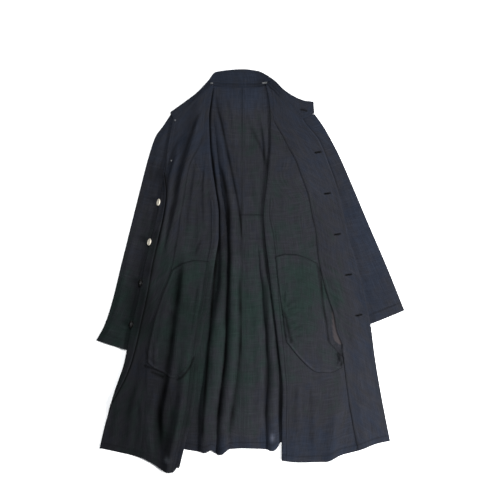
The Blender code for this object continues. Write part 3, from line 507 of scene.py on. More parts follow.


# Creases: panel, rise, width on the -x side and on the +x side, share of
# the length over which each end fades, and points along the crease.
CREASES = (
    ("front_left", 8.0, 6.0, 15.0, 0.20, ((-119, 494), (-154, 416), (-173, 349), (-197, 262), (-210, 190), (-232, 103), (-249, 19))),
    ("front_left", 5.4, 5.0, 10.0, 0.22, ((-203, 384), (-209, 349), (-231, 262), (-239, 190), (-257, 94), (-267, 36))),
    ("front_left", 7.5, 6.0, 18.0, 0.18, ((-186, 54), (-200, -80), (-213, -173), (-223, -265), (-238, -347), (-252, -434), (-252, -538))),
    ("front_left", 3.4, 6.0, 13.0, 0.30, ((-142, 378), (-160, 262), (-174, 161), (-183, 59))),
    ("front_left", 2.6, 5.0, 10.0, 0.30, ((-122, 349), (-133, 233), (-130, 103))),
    ("front_left", 1.8, 5.0, 9.0, 0.30, ((-151, 204), (-148, 117), (-157, 36))),
    ("front_left", 2.8, 12.0, 8.0, 0.30, ((-238, -51), (-252, -144), (-270, -236))),
    ("front_left", 2.6, 6.0, 8.0, 0.30, ((-139, -13), (-154, -115), (-168, -216))),
    ("front_left", 5.0, 12.0, 9.0, 0.18, ((-191, -332), (-200, -419), (-212, -506), (-226, -590))),
    ("front_left", 3.6, 12.0, 7.0, 0.20, ((-270, -323), (-287, -405), (-290, -477), (-284, -555))),
    ("front_left", 2.8, 13.0, 9.0, 0.20, ((-316, -312), (-339, -405), (-354, -535))),
    ("front_left", 2.0, 10.0, 12.0, 0.20, ((-377, -390), (-394, -457), (-406, -521))),
    ("front_left", 3.2, 6.0, 7.0, 0.25, ((-162, -352), (-171, -434), (-183, -526))),
    ("front_left", 3.0, 4.0, 6.0, 0.30, ((-302, -216), (-284, -254), (-261, -265), (-238, -260))),
    ("front_left", 3.0, 4.0, 4.0, 0.30, ((-281, -265), (-273, -236), (-273, -202))),
    ("front_left", 1.6, 5.0, 4.0, 0.30, ((-246, -86), (-226, -120), (-194, -138))),
    ("front_left", 1.6, 4.0, 5.0, 0.30, ((-252, -187), (-226, -207), (-191, -202))),
    ("front_left", 1.8, 5.0, 6.0, 0.30, ((-212, -332), (-223, -376), (-220, -428))),
    ("front_left", 1.5, 4.0, 6.0, 0.30, ((-322, -361), (-313, -419), (-319, -486))),
    ("front_left", 1.4, 4.0, 5.0, 0.30, ((-186, -42), (-174, -86), (-171, -144))),
    ("front_right", 1.7, 11.0, 14.0, 0.25, ((142, -303), (133, -405), (130, -555))),
    ("front_right", 1.4, 9.0, 12.0, 0.25, ((180, -312), (188, -405), (186, -555))),
    ("front_right", 1.3, 10.0, 9.0, 0.25, ((232, -323), (241, -405), (252, -538))),
    ("front_right", 1.2, 8.0, 10.0, 0.25, ((325, -231), (348, -361), (371, -506))),
    ("front_right", 3.0, 4.0, 4.0, 0.30, ((90, -120), (110, -135), (136, -138))),
    ("front_right", 2.8, 4.0, 4.0, 0.30, ((93, -149), (116, -158), (142, -149))),
    ("front_right", 2.6, 4.0, 4.0, 0.30, ((99, -173), (116, -193), (136, -207))),
    ("front_right", 2.0, 4.0, 5.0, 0.30, ((104, -109), (122, -94), (148, -86))),
    ("front_right", 1.0, 9.0, 12.0, 0.30, ((107, 16), (104, -42), (116, -86))),
    ("front_right", 1.1, 8.0, 9.0, 0.30, ((157, -173), (180, -216), (186, -271))),
    ("front_right", 1.0, 12.0, 12.0, 0.30, ((78, 378), (96, 306), (102, 219), (107, 103))),
    ("front_right", 0.9, 12.0, 13.0, 0.30, ((119, 320), (136, 233), (151, 117))),
    ("front_right", 1.2, 12.0, 10.0, 0.25, ((183, 431), (203, 349), (229, 233), (261, 88))),
    ("front_right", 1.0, 12.0, 12.0, 0.25, ((255, 59), (278, -57), (296, -173), (307, -236))),
    ("front_right", 3.2, 3.5, 3.5, 0.20, ((255, -219), (267, -236), (264, -260), (273, -280))),
    ("front_right", 2.6, 3.0, 3.0, 0.20, ((249, -236), (261, -251), (255, -277))),
    ("back_left", 2.6, 10.0, 24.0, 0.20, ((-61, 460), (-41, 349), (-17, 204), (-9, 88), (-6, -57), (-12, -202), (-26, -376), (-35, -521))),
    ("back_left", 1.7, 5.0, 5.0, 0.30, ((-90, 506), (-75, 451), (-61, 378))),
    ("back_left", 1.4, 5.0, 6.0, 0.30, ((-67, 518), (-52, 460), (-44, 393))),
    ("back_left", 1.2, 8.0, 8.0, 0.30, ((-70, 30), (-55, -86), (-55, -202))),
    ("back_left", 1.0, 8.0, 8.0, 0.30, ((-119, -332), (-130, -419), (-136, -515))),
    ("back_right", 2.2, 7.0, 6.0, 0.30, ((-9, 477), (6, 422), (17, 373), (29, 320))),
    ("back_right", 2.6, 5.0, 5.0, 0.30, ((17, 500), (29, 442), (41, 384), (46, 344))),
    ("back_right", 1.2, 7.0, 7.0, 0.30, ((6, 306), (17, 233), (23, 170))),
    ("back_right", 2.2, 16.0, 9.0, 0.20, ((6, 36), (17, -86), (26, -202), (29, -318), (23, -515))),
    ("back_right", 1.3, 10.0, 10.0, 0.30, ((-9, 161), (-3, 59), (-9, -86))),
    ("back_right", 1.2, 14.0, 14.0, 0.30, ((-12, -144), (-6, -289), (-9, -492))),
    ("front_left", -1.0, 6.0, 6.0, 0.40, ((-138, 100), (-151, 68), (-164, 39))),
    ("front_left", 0.8, 7.0, 7.0, 0.40, ((-128, 106), (-139, 71), (-154, 36))),
    ("sleeve_left", 1.8, 12.0, 12.0, 0.20, ((-302, 306), (-339, 161), (-368, 1), (-397, -173))),
    ("sleeve_left", 1.3, 5.0, 5.0, 0.30, ((-374, 36), (-351, 22), (-322, 25))),
    ("sleeve_left", 1.2, 5.0, 5.0, 0.30, ((-397, -51), (-368, -65), (-336, -57))),
    ("sleeve_left", 1.5, 6.0, 6.0, 0.30, ((-423, -161), (-397, -181), (-365, -184))),
    ("sleeve_left", 1.2, 6.0, 6.0, 0.30, ((-334, 219), (-310, 204), (-290, 210))),
    ("sleeve_left", 1.4, 6.0, 5.0, 0.30, ((-264, 349), (-276, 306), (-287, 248))),
    ("sleeve_right", 1.3, 14.0, 14.0, 0.20, ((209, 320), (264, 161), (325, 16), (386, -120))),
    ("sleeve_right", 0.9, 6.0, 6.0, 0.30, ((249, 233), (273, 225), (296, 233))),
    ("sleeve_right", 0.9, 6.0, 6.0, 0.30, ((307, 59), (334, 57), (357, 68))),
    ("sleeve_right", 1.0, 7.0, 7.0, 0.30, ((360, -86), (389, -100), (420, -94))),
)
# Small wrinkles of the right pocket's bag, laid out like the creases.
CRUMPLES = (
    ("pocket_bag_right", -1.3, 2.8, 2.8, 0.30, ((100.0, -56.5), (98.3, -76.8), (96.3, -97.1))),
    ("pocket_bag_right", 0.9, 2.8, 2.8, 0.30, ((106.7, -56.5), (105.3, -76.8), (103.8, -97.1))),
    ("pocket_bag_right", 0.9, 2.4, 2.4, 0.30, ((104.4, -100.6), (118.9, -101.2), (142.1, -96.6))),
    ("pocket_bag_right", -0.6, 2.4, 2.4, 0.30, ((107.3, -107.3), (121.8, -106.7), (142.1, -103.0))),
    ("pocket_bag_right", 1.0, 2.4, 2.4, 0.30, ((105.8, -114.0), (124.7, -112.8), (147.9, -110.5))),
    ("pocket_bag_right", -0.8, 2.4, 2.4, 0.30, ((108.8, -120.3), (124.7, -119.5), (146.4, -117.5))),
    ("pocket_bag_right", 0.5, 2.4, 2.4, 0.30, ((110.2, -127.0), (124.7, -126.1), (142.1, -127.3))),
    ("pocket_bag_right", 0.7, 2.6, 2.6, 0.30, ((111.6, -143.5), (127.6, -140.7), (147.9, -142.4))),
    ("pocket_bag_right", 0.9, 2.4, 2.4, 0.30, ((130.5, -165.3), (142.1, -161.5), (159.5, -156.9))),
    ("pocket_bag_right", -1.0, 2.4, 2.4, 0.30, ((131.9, -172.0), (145.0, -167.9), (158.0, -163.3))),
    ("pocket_bag_right", 0.9, 2.4, 2.4, 0.30, ((131.9, -178.6), (145.0, -174.6), (158.0, -169.7))),
    ("pocket_bag_right", -0.8, 2.4, 2.4, 0.30, ((133.4, -185.3), (145.0, -181.5), (156.6, -176.9))),
    ("pocket_bag_right", 0.6, 2.4, 2.4, 0.30, ((136.3, -191.7), (147.9, -187.9), (159.5, -183.3))),
    ("pocket_bag_right", -1.1, 2.8, 2.8, 0.30, ((110.8, -149.3), (114.3, -175.4), (119.8, -204.4))),
    ("pocket_bag_right", 0.8, 2.8, 2.8, 0.30, ((105.0, -149.3), (108.2, -175.4), (113.1, -201.5))),
)
# Painted shade along valleys, creases and gaps, laid out like the creases; the number
# after the panel is how much darker it is painted, and below 0 it is a painted highlight.
PAINTED_SHADE_AND_LIGHT_LINES = (
    ("back_left", 0.85, 4.0, 5.0, 0.03, ((-110, 532), (-113, 503), (-116, 465), (-116, 390), (-107, 306), (-96, 219), (-90, 161), (-90, 88), (-99, 25), (-107, -57), (-116, -173), (-125, -289), (-133, -390), (-139, -492))),
    ("back_left", 0.82, 6.0, 6.0, 0.10, ((-104, 349), (-84, 297), (-70, 233), (-61, 161), (-61, 30), (-67, -115), (-70, -231), (-81, -332), (-90, -405), (-99, -492))),
    ("back_left", 0.66, 4.5, 4.5, 0.08, ((-97, 515), (-93, 474), (-83, 431), (-68, 358), (-52, 283), (-38, 213), (-29, 161), (-23, 112), (-12, 65), (-17, 25))),
    ("back_left", 0.42, 14.0, 14.0, 0.20, ((-87, 233), (-75, 132), (-75, 59), (-87, -42), (-96, -144))),
    ("back_left", 0.62, 7.0, 7.0, 0.15, ((-26, 7), (-29, -57), (-27, -181), (-36, -306), (-55, -445), (-61, -497))),
    ("back_left", 0.20, 12.0, 12.0, 0.25, ((-32, 204), (-29, 103), (-32, 25))),
    ("back_right", 0.45, 6.0, 6.0, 0.20, ((3, 425), (17, 387), (35, 349), (46, 315), (52, 277))),
    ("back_right", 0.44, 5.0, 6.0, 0.20, ((38, 161), (41, 74), (49, 1), (49, -115), (49, -260), (46, -405), (44, -492))),
    ("back_right", 0.58, 9.0, 5.0, 0.20, ((75, -115), (81, -216), (87, -303), (90, -390), (90, -492))),
    ("front_left", 0.62, 9.0, 8.0, 0.22, ((-191, 71), (-197, 36), (-209, -80), (-220, -144), (-226, -202), (-238, -265), (-246, -332), (-261, -405), (-258, -477), (-246, -535))),
    ("front_left", 0.35, 16.0, 14.0, 0.25, ((-258, 141), (-273, 88), (-281, 25), (-296, -42))),
    ("front_left", 0.32, 18.0, 18.0, 0.25, ((-290, -42), (-304, -120), (-313, -202))),
    ("front_left", 0.28, 14.0, 9.0, 0.20, ((-110, 45), (-122, -86), (-133, -202), (-148, -318))),
    ("front_left", 0.25, 8.0, 8.0, 0.20, ((-316, -236), (-328, -312), (-345, -381), (-357, -448))),
    ("front_left", 0.40, 5.0, 5.0, 0.18, ((-142, 468), (-162, 413), (-183, 358), (-209, 262), (-223, 190), (-246, 103))),
    ("front_left", 0.42, 5.0, 5.0, 0.18, ((-188, 402), (-206, 373), (-220, 349), (-244, 262), (-249, 190), (-264, 112))),
    ("front_left", 0.85, 4.0, 4.0, 0.12, ((-310, -273), (-281, -283), (-246, -296))),
    ("front_left", 0.85, 4.0, 4.0, 0.15, ((-290, -291), (-270, -299), (-246, -309))),
    ("front_left", 0.55, 3.0, 3.0, 0.30, ((-278, -283), (-278, -260), (-281, -236))),
    ("front_left", 0.30, 5.0, 5.0, 0.40, ((-138, 100), (-151, 68), (-164, 39))),
    ("front_left", 0.38, 24.0, 22.0, 0.25, ((-232, -303), (-249, -399), (-252, -468), (-241, -535))),
    ("front_left", -0.28, 12.0, 12.0, 0.25, ((-293, -318), (-299, -399), (-290, -492), (-281, -538))),
    ("front_left", -0.20, 10.0, 10.0, 0.25, ((-209, -347), (-215, -419), (-215, -506))),
    ("front_left", 0.30, 18.0, 14.0, 0.25, ((-130, -216), (-157, -303), (-174, -405), (-183, -492))),
    ("front_left", 0.60, 3.2, 3.2, 0.06, ((-160, -246), (-173, -277), (-186, -295), (-197, -308), (-215, -315))),
    ("front_right", 0.22, 3.0, 3.0, 0.25, ((107, -109), (122, -106), (139, -103))),
    ("front_right", 0.22, 3.0, 3.0, 0.25, ((107, -122), (125, -126), (145, -120))),
    ("front_right", 0.25, 3.0, 3.0, 0.25, ((122, -175), (139, -164), (157, -158))),
    ("front_right", 0.20, 3.0, 3.0, 0.25, ((125, -190), (139, -190), (154, -184))),
    ("front_right", 0.35, 3.5, 3.5, 0.30, ((99, -94), (96, -74), (102, -59))),
    ("front_right", 0.60, 4.0, 4.0, 0.25, ((90, -100), (102, -132), (110, -167), (116, -202))),
    ("front_right", 0.65, 4.0, 5.0, 0.30, ((113, -184), (119, -199), (116, -213))),
    ("front_right", 0.45, 8.0, 6.0, 0.25, ((252, -231), (261, -254), (267, -280))),
    ("front_right", 0.40, 2.0, 2.0, 0.20, ((255, -277), (264, -271), (273, -262))),
    ("front_right", 0.40, 2.0, 2.0, 0.20, ((252, -236), (264, -245), (270, -239))),
    ("front_right", 0.20, 6.0, 6.0, 0.25, ((136, -318), (133, -419), (145, -521))),
    ("front_right", 0.20, 6.0, 6.0, 0.25, ((177, -332), (174, -419), (180, -521))),
    ("front_right", 0.65, 3.0, 3.0, 0.10, ((197, 22), (204, -13), (209, -65), (215, -117), (222, -152), (228, -202), (235, -216))),
    ("sleeve_left", 0.28, 20.0, 14.0, 0.15, ((-261, 349), (-281, 248), (-296, 175), (-310, 88), (-328, 1), (-345, -86), (-360, -173))),
)


# ------------------------------------------------------------------ fine model: sizes
WALL = 0.9             # drawn wall of one layer
FINE = 3.8             # spacing of mesh lines where cloth shows
CLOSE = 1.8            # the same beside a seam
HIDDEN = 13.0          # the same where another layer covers it
HEM_BAND = 20.0        # turned-up hem
HEM_RISE = 0.8
CUFF_BAND = 26.0
FELL = 8.0             # width of a felled seam
FELL_RISE = 0.7
YOKE_LINES = ((161.0, -34.0, 42.0, 1.0), (91.0, -8.0, 56.0, 0.6))   # y, from x, to x, rise
ROLL_BLEND = 24.0      # run from the roll over which creases come in


# Standing folds of the back, read along each: y, x of the left foot, of the crest and
# of the right foot, and height.
ARCH = ("y", "left", "crest", "right", "height")
ARCHES = {
    "back_left": (
        ((528, -106, -103, -99, 2), (480, -114, -109, -103, 4), (422, -119, -112, -106, 6), (350, -114, -104, -96, 7),
         (262, -104, -97, -87, 10), (190, -94, -87, -75, 12),
         (103, -93, -81, -67, 13), (16, -90, -80, -64, 13), (-86, -102, -87, -67, 14), (-202, -122, -102, -70, 14),
         (-318, -136, -107, -81, 15), (-434, -148, -128, -93, 14), (-520, -151, -133, -99, 12)),
        ((451, -107, -99, -87, 2), (350, -96, -81, -70, 7), (262, -87, -64, -52, 11), (190, -75, -52, -35, 13),
         (103, -65, -46, -29, 13), (16, -64, -49, -32, 14), (-86, -67, -46, -32, 15), (-202, -70, -49, -29, 15),
         (-318, -81, -61, -41, 16), (-434, -93, -75, -58, 15), (-520, -99, -81, -64, 12)),
    ),
    "back_right": (
        ((88, 20, 26, 32, 0), (13, 28, 36, 46, 5), (-86, 38, 52, 64, 10), (-202, 46, 61, 78, 12),
         (-318, 52, 72, 87, 13), (-434, 46, 67, 84, 13), (-520, 46, 64, 84, 11)),
        ((480, 27, 38, 50, 0), (407, 33, 44, 55, 4), (350, 38, 46, 55, 6), (306, 40, 46, 52, 3), (262, 40, 45, 50, 0)),
    ),
}


class Noise:
    """Smooth seeded noise on a plane, about -1 to 1."""

    def __init__(self, seed):
        self.table = np.random.default_rng(seed).random((128, 128)) * 2 - 1

    def at(self, x, y):
        i, j = np.floor(x).astype(int), np.floor(y).astype(int)
        fx, fy = x - i, y - j
        fx, fy = (f**3 * (f * (f * 6 - 15) + 10) for f in (fx, fy))
        t = self.table
        i0, i1, j0, j1 = i % 128, (i + 1) % 128, j % 128, (j + 1) % 128
        return ((t[i0, j0] * (1 - fx) + t[i1, j0] * fx) * (1 - fy)
                + (t[i0, j1] * (1 - fx) + t[i1, j1] * fx) * fy)


BROAD, DRAPE_NOISE, CRUMPLE, UNEVEN = Noise(11), Noise(23), Noise(37), Noise(51)


def cloth_noise(x, y, shift):
    """Broad waves, drape lines that run down the cloth, and linen's small crumples."""
    return (0.55 * BROAD.at(x / 75.0 + shift, y / 120.0)
            + 0.40 * DRAPE_NOISE.at(x / 24.0 + shift, y / 150.0 + shift)
            + 0.20 * CRUMPLE.at(x / 13.0 + shift, y / 22.0)
            + 0.10 * CRUMPLE.at(x / 7.0, y / 8.0 + shift))


def crease_field(panel, x, y, table=CREASES):
    """Height of the creases of a panel, or of another table laid out alike."""
    total = np.zeros(np.shape(x))
    for number, (name, rise, low, high, taper, points) in enumerate(table):
        if name != panel:
            continue
        p = np.array(points, float)
        run = np.concatenate([[0], np.cumsum(np.hypot(*np.diff(p, axis=0).T))])
        t = np.linspace(0, run[-1], max(6, int(run[-1] / 9)))
        line = np.stack([smooth_curve(list(zip(run, p[:, 0])))(t), smooth_curve(list(zip(run, p[:, 1])))(t)], 1)
        reach = 3 * max(low, high)
        near = ((x > line[:, 0].min() - reach) & (x < line[:, 0].max() + reach)
                & (y > line[:, 1].min() - reach) & (y < line[:, 1].max() + reach))
        if not near.any():
            continue
        q = np.stack([x[near], y[near]], 1)
        best = np.full(len(q), 1e9)
        side = np.zeros(len(q))
        at = np.zeros(len(q))
        for a, b, ta, tb in zip(line[:-1], line[1:], t[:-1], t[1:]):
            ab = b - a
            k = np.clip(((q - a) @ ab) / (ab @ ab), 0, 1)
            off = q - (a + k[:, None] * ab)
            dist = np.hypot(off[:, 0], off[:, 1])
            closer = dist < best
            best = np.where(closer, dist, best)
            side = np.where(closer, off[:, 0], side)
            at = np.where(closer, ta + k * (tb - ta), at)
        end = taper * run[-1]
        fade = ease(at / end) * ease((run[-1] - at) / end)
        uneven = 1 + 0.35 * UNEVEN.at(at / 38.0, np.full(len(q), number * 3.7))
        width = np.where(side > 0, high, low) * (1 + 0.2 * UNEVEN.at(at / 60.0 + 40, np.full(len(q), number * 2.3)))
        total[near] += rise * fade * uneven * np.exp(-(best / width) ** 2)
    return total


def keep_above(height, least):
    """Limits a dip softly to -least."""
    return np.where(height < 0, -least * (1 - np.exp(np.minimum(height, 0) / least)), height)


def arch(rows, x, y):
    """A fold standing on its two feet: round on top, sharp where it meets the next."""
    left, crest, right, height = (column(rows, ARCH, k)(y) for k in ARCH[1:])
    ends = ease((rows[0][0] - y) / 30.0) if rows[0][4] == 0 else 1.0
    ends = ends * (ease((y - rows[-1][0]) / 30.0) if rows[-1][4] == 0 else 1.0)
    q = np.where(x < crest, (crest - x) / np.maximum(crest - left, 2.0), (x - crest) / np.maximum(right - crest, 2.0))
    return ends * np.maximum(height, 0) * np.clip(1 - q * q, 0, 1) ** 0.8


def band(q, width, edge):
    """1 between 0 and width, with soft edges."""
    return ease(q / edge + 0.5) * ease((width - q) / edge + 0.5)


# ------------------------------------------------------------------ fine model: grids
def stations(cols, steps):
    """Fractional column numbers, closer together where the cloth shows."""
    y = np.array([430.0, 300.0, 150.0, 0.0, -150.0, -300.0, -450.0])
    u = [0.0]
    for i in range(len(cols) - 1):
        width = float(np.max(np.abs(cols[i + 1][0](y) - cols[i][0](y))))
        n = max(1, math.ceil(width / steps[i]))
        u += [i + (k + 1) / n for k in range(n)]
    return np.array(u)


def row_numbers():
    """Fractional row numbers, closer together at the neck, hem and yoke lines."""
    last = len(ROW_Y) - 2
    k = [0.0]
    for i in range(len(ROW_Y) - 1):
        n = math.ceil((ROW_Y[i] - ROW_Y[i + 1]) / FINE)
        t = np.arange(1, n + 1) / n
        if i == 0:
            t = (np.arange(1, 19) / 18) ** 1.3
        if i == last:
            t = 1 - (1 - np.arange(1, 43) / 42) ** 1.5
        k += list(i + t)
    index = np.arange(len(ROW_Y))
    for y, x0, x1, rise in YOKE_LINES:
        k += [float(np.interp(-(y + off), -np.array(ROW_Y, float), index)) for off in (-2.4, -1.5, -0.7, 0, 0.7, 1.5, 2.4)]
    return np.unique(np.round(k, 5))


ROWS = row_numbers()


def fine_rows(top, hem):
    y = np.interp(ROWS, np.arange(len(ROW_Y)), ROW_Y)
    neck = np.clip(1 - ROWS / ROW_BLEND, 0, 1) ** 2
    foot = np.clip(1 - (len(ROW_Y) - 1 - ROWS) / ROW_BLEND, 0, 1) ** 2
    return y + neck * (top - ROW_Y[0]) + foot * (hem - ROW_Y[-1])


def front_hem(half):
    """Hem of a front by fractional column number, as it lies."""
    d = half.d

    def place(u, y):
        crest, line = float(half.roll(y)) + d * half.r, float(half.facing(y))
        edge = float(half.turn_start(y)[3]) if half.name == "left" else float(half.edge(y))
        xs = [crest] + [crest + k * (line - crest) for k in INNER_SHARES] + [line + k * (edge - line) for k in OUTER_SHARES]
        return np.interp(u, range(CREST, CREST + len(xs)), xs)

    def hem(u):
        y = -540.0
        for i in range(24):
            y += 0.5 * (float(half.hem(place(max(u, CREST), y))) - y)
        seam = SEAM_HEM_Y[half.name]
        return seam + float(ease((u - 2.2) / (CREST - 3.7))) * (y - seam) if u < CREST else y
    return hem


def fine_path(cols, u_list, limit, from_start, hems=None):
    """Section y and run along the path for every point of a fine grid."""
    tops = smooth_curve([(i, c[1]) for i, c in enumerate(cols)])
    hems = hems or smooth_curve([(i, c[2]) for i, c in enumerate(cols)])
    y_all = np.zeros((len(ROWS), len(u_list)))
    s_all = np.zeros_like(y_all)
    for j, u in enumerate(u_list):
        i = min(int(u), len(cols) - 2)
        t = u - i
        y = fine_rows(float(tops(u)), float(hems(u)))
        s = (1 - t) * cols[i][0](y) + t * cols[i + 1][0](y)
        if from_start:
            s = np.maximum(s, limit(y) + COLUMN_MIN * u)
        else:
            s = np.minimum(s, limit(y) - COLUMN_MIN * (len(cols) - 1 - u))
        y_all[:, j], s_all[:, j] = y, s
    return y_all, s_all


def hem_relief(h, x, seed):
    """Turned-up hem: a band, its stitched edge, and light puckers above it."""
    pucker = 0.5 * CRUMPLE.at(x / 16.0 + seed, h / 60.0) * np.exp(-((h - HEM_BAND) / 14.0) ** 2)
    groove = -0.45 * np.exp(-((h - HEM_BAND + 2.2) / 1.3) ** 2)
    return HEM_RISE * ease((HEM_BAND - h) / 1.8 + 0.5) + groove + pucker


def fine_back(half):
    cols = back_columns(half)
    marks = 2 + 4 * len(half.back_folds)
    steps = [2.2] * (marks - 1) + [HIDDEN] * 3 + [2.5] * 3 + [HIDDEN] * 3
    u = stations(cols, steps)
    y, s = fine_path(cols, u, half.back_end, False)
    x, z = half.point(y, s)
    d = half.d
    on_floor = s < half.at_floor(y, half.under(y))
    clear = ease((d * (half.roll(y) - x) - 1.0) / 9.0) * on_floor
    middle = ease((d * (x - CENTRE_BACK_X) - 2.0) / 12.0)
    stand = np.zeros_like(x)
    for i, rows in enumerate(ARCHES["back_" + half.name]):
        wander = 1 + 0.12 * UNEVEN.at(y / 70.0, np.full(x.shape, 5.0 * i + d))
        stand = np.maximum(stand, wander * arch(rows, x + 1.5 * UNEVEN.at(y / 45.0 + 9, np.full(x.shape, 3.0 * i)), y))
    rise = crease_field("back_" + half.name, x, y) + 0.7 + 0.9 * cloth_noise(x, y, 3.0 + d) + 0.3 * DRAPE_NOISE.at(x / 9.5 + 4, y / 52.0)
    neck = ease((y[0][None, :] - y) / 16.0)
    h = y - y[-1][None, :]
    rise = keep_above(rise * neck, 0.08)
    rise += hem_relief(h, x, d)
    q = d * (x - CENTRE_BACK_X)
    top_part = 0.25 + 0.75 * ease((y - 380.0) / 120.0)
    if half.name == "right":
        rise += 0.45 * top_part * ease((FELL - q) / 1.6 + 0.5)
    rise = rise - 0.35 * top_part * np.exp(-(q / 1.4) ** 2)
    x = x - d * (SEAM / 2 + 0.06) * np.exp(-(q / 1.5) ** 2)
    for line, x0, x1, top in YOKE_LINES:
        rise += top * np.exp(-((y - line) / 1.3) ** 2) * ease((x - x0) / 8.0) * ease((x1 - x) / 8.0)
    open_up = ease((d * (half.roll(y) - x) - 0.5) / 4.0) * middle * on_floor
    z = np.maximum(z + clear * rise + open_up * stand * neck, FLOOR_MID)
    grid = np.stack([x, y, z], 2)
    wear = np.exp(-(h / 3.0) ** 2)
    # painted shade along the hem's stitched groove, the centre back seam and the yoke lines
    line = 0.35 * np.exp(-((h - HEM_BAND + 2.2) / 1.5) ** 2) + 0.4 * top_part * np.exp(-(q / 1.5) ** 2)
    for at, x0, x1, top in YOKE_LINES:
        line += 0.4 * top * np.exp(-((y - at) / 1.5) ** 2) * ease((x - x0) / 8.0) * ease((x1 - x) / 8.0)
    return {"grid": grid, "u": u, "wear": wear, "line": line, "hem": h, "half": half, "normal": grid_normals(half, grid)}


def fine_front(half):
    cols = front_columns(half)
    d = half.d
    edge_column = FACING + len(OUTER_SHARES)
    steps = [HIDDEN] * 2 + [2.4] * 4 + [CLOSE] * 2 + [FINE] * 3 + [FINE] * 4
    steps += [1.2] * 4 + [3.0] * 2 if half.name == "left" else []
    u = stations(cols, steps)
    y, s = fine_path(cols, u, half.front_start, True, front_hem(half))
    x, z = half.point(y, s)
    nose, quarter, back_run = half.lengths(y)
    into = ease((s - quarter) / ROLL_BLEND)
    if half.name == "left":
        out = ease((half.at_top(y, half.turn_start(y)[3]) - s) / 14.0)
    else:
        out = ease((half.front_end(y) - s) / 14.0) * 0.7 + 0.3
    rise = crease_field("front_" + half.name, x, y)
    calm = 1.0 if half.name == "left" else 0.62
    rise = rise + calm * cloth_noise(x, y, 7.0 + 2 * d)
    neck = ease((y[0][None, :] - y) / 18.0)
    h = y - y[-1][None, :]
    # the front falls away from its roll all the way to its edge
    past = np.maximum(d * (x - half.roll(y)) - half.r, 0.0)
    reach = np.maximum(d * (half.edge(y) - half.roll(y)) - half.r, 60.0)
    base = LOW_MID + (STACK_MID - LOW_MID) * half.cover(x, y)
    fall = (half.height(y) - base) * (np.clip(1 - past / reach, 0, 1) ** 1.3 - np.exp(-(past / ROLL_RUN[half.name]) ** 2))
    fall = np.maximum(fall, 0) * ease((y + 560.0) / 160.0)
    rise = keep_above(rise + fall, 0.15 + 1.1 * half.cover(x, y)) * neck
    q = d * (x - half.roll(y)) - half.seam(y)
    seam = FELL_RISE * band(q, FELL, 1.6) - 0.4 * np.exp(-(q / 1.1) ** 2)
    sewn = ease((UNDERARM_Y - 60.0 - y) / 40.0) * (s > quarter)
    z = z + into * out * rise + sewn * seam + (s > quarter) * out * hem_relief(h, x, 5 + d)
    grid = np.stack([x, y, z], 2)
    wear = np.maximum(np.exp(-(h / 3.0) ** 2), 0.8 * np.exp(-((half.front_end(y) - s) / 3.0) ** 2))
    pale = np.zeros_like(x)
    if half.name == "right":
        pale = ease((-115.0 - y) / 4.0) * ease((y + 215.0) / 4.0)
        pale = pale * ease((x - MOUTH(y)) / 2.0 + 0.5) * ease((MOUTH(y) + 34.0 - x) / 3.0)
    # painted shade along the hem's stitched groove and both edges of the felled seam
    line = 0.35 * np.exp(-((h - HEM_BAND + 2.2) / 1.5) ** 2) + sewn * 0.24 * (np.exp(-(q / 1.6) ** 2) + np.exp(-((q - FELL) / 1.6) ** 2))
    # painted highlight along the front edge: a negative line lightens it
    rim = np.exp(-((half.front_end(y) - s - 1.4) / 2.0) ** 2)
    line -= 0.4 * rim * (ease(half.turn(y) / 10.0) if half.name == "left" else ease((y - 180.0) / 80.0))
    return {"grid": grid, "u": u, "wear": wear, "pale": pale, "line": line, "hem": h, "half": half, "run": s,
            "edge_column": edge_column, "normal": grid_normals(half, grid)}


# Right pocket's mouth: how far the facing's inner edge stands out from its line, how far
# the bag's edge lies in from it, and where the paler cloth in the mouth begins.
STAND_OUT = smooth_curve(((25, 0), (-13, 4), (-51, 8), (-91, 14.5), (-117, 18), (-141, 18.5), (-187, 15), (-212, 15), (-235, 6), (-265, 0)))
BAG_IN = smooth_curve(((-60, 0), (-117, -4), (-152, -5), (-185, -11), (-201, -14), (-213, -10.5), (-233, -2), (-262, 0)))
MOUTH = smooth_curve(((-119, 237.5), (-187, 240.7), (-202, 245), (-213, 257)))


def grid_normals(half, grid):
    """Normals on the cloth's inner side, which lies up."""
    across = np.gradient(grid, axis=1)
    along = np.gradient(grid, axis=0)
    n = np.cross(across, -along) * half.d
    return n / np.linalg.norm(n, axis=2)[:, :, None]


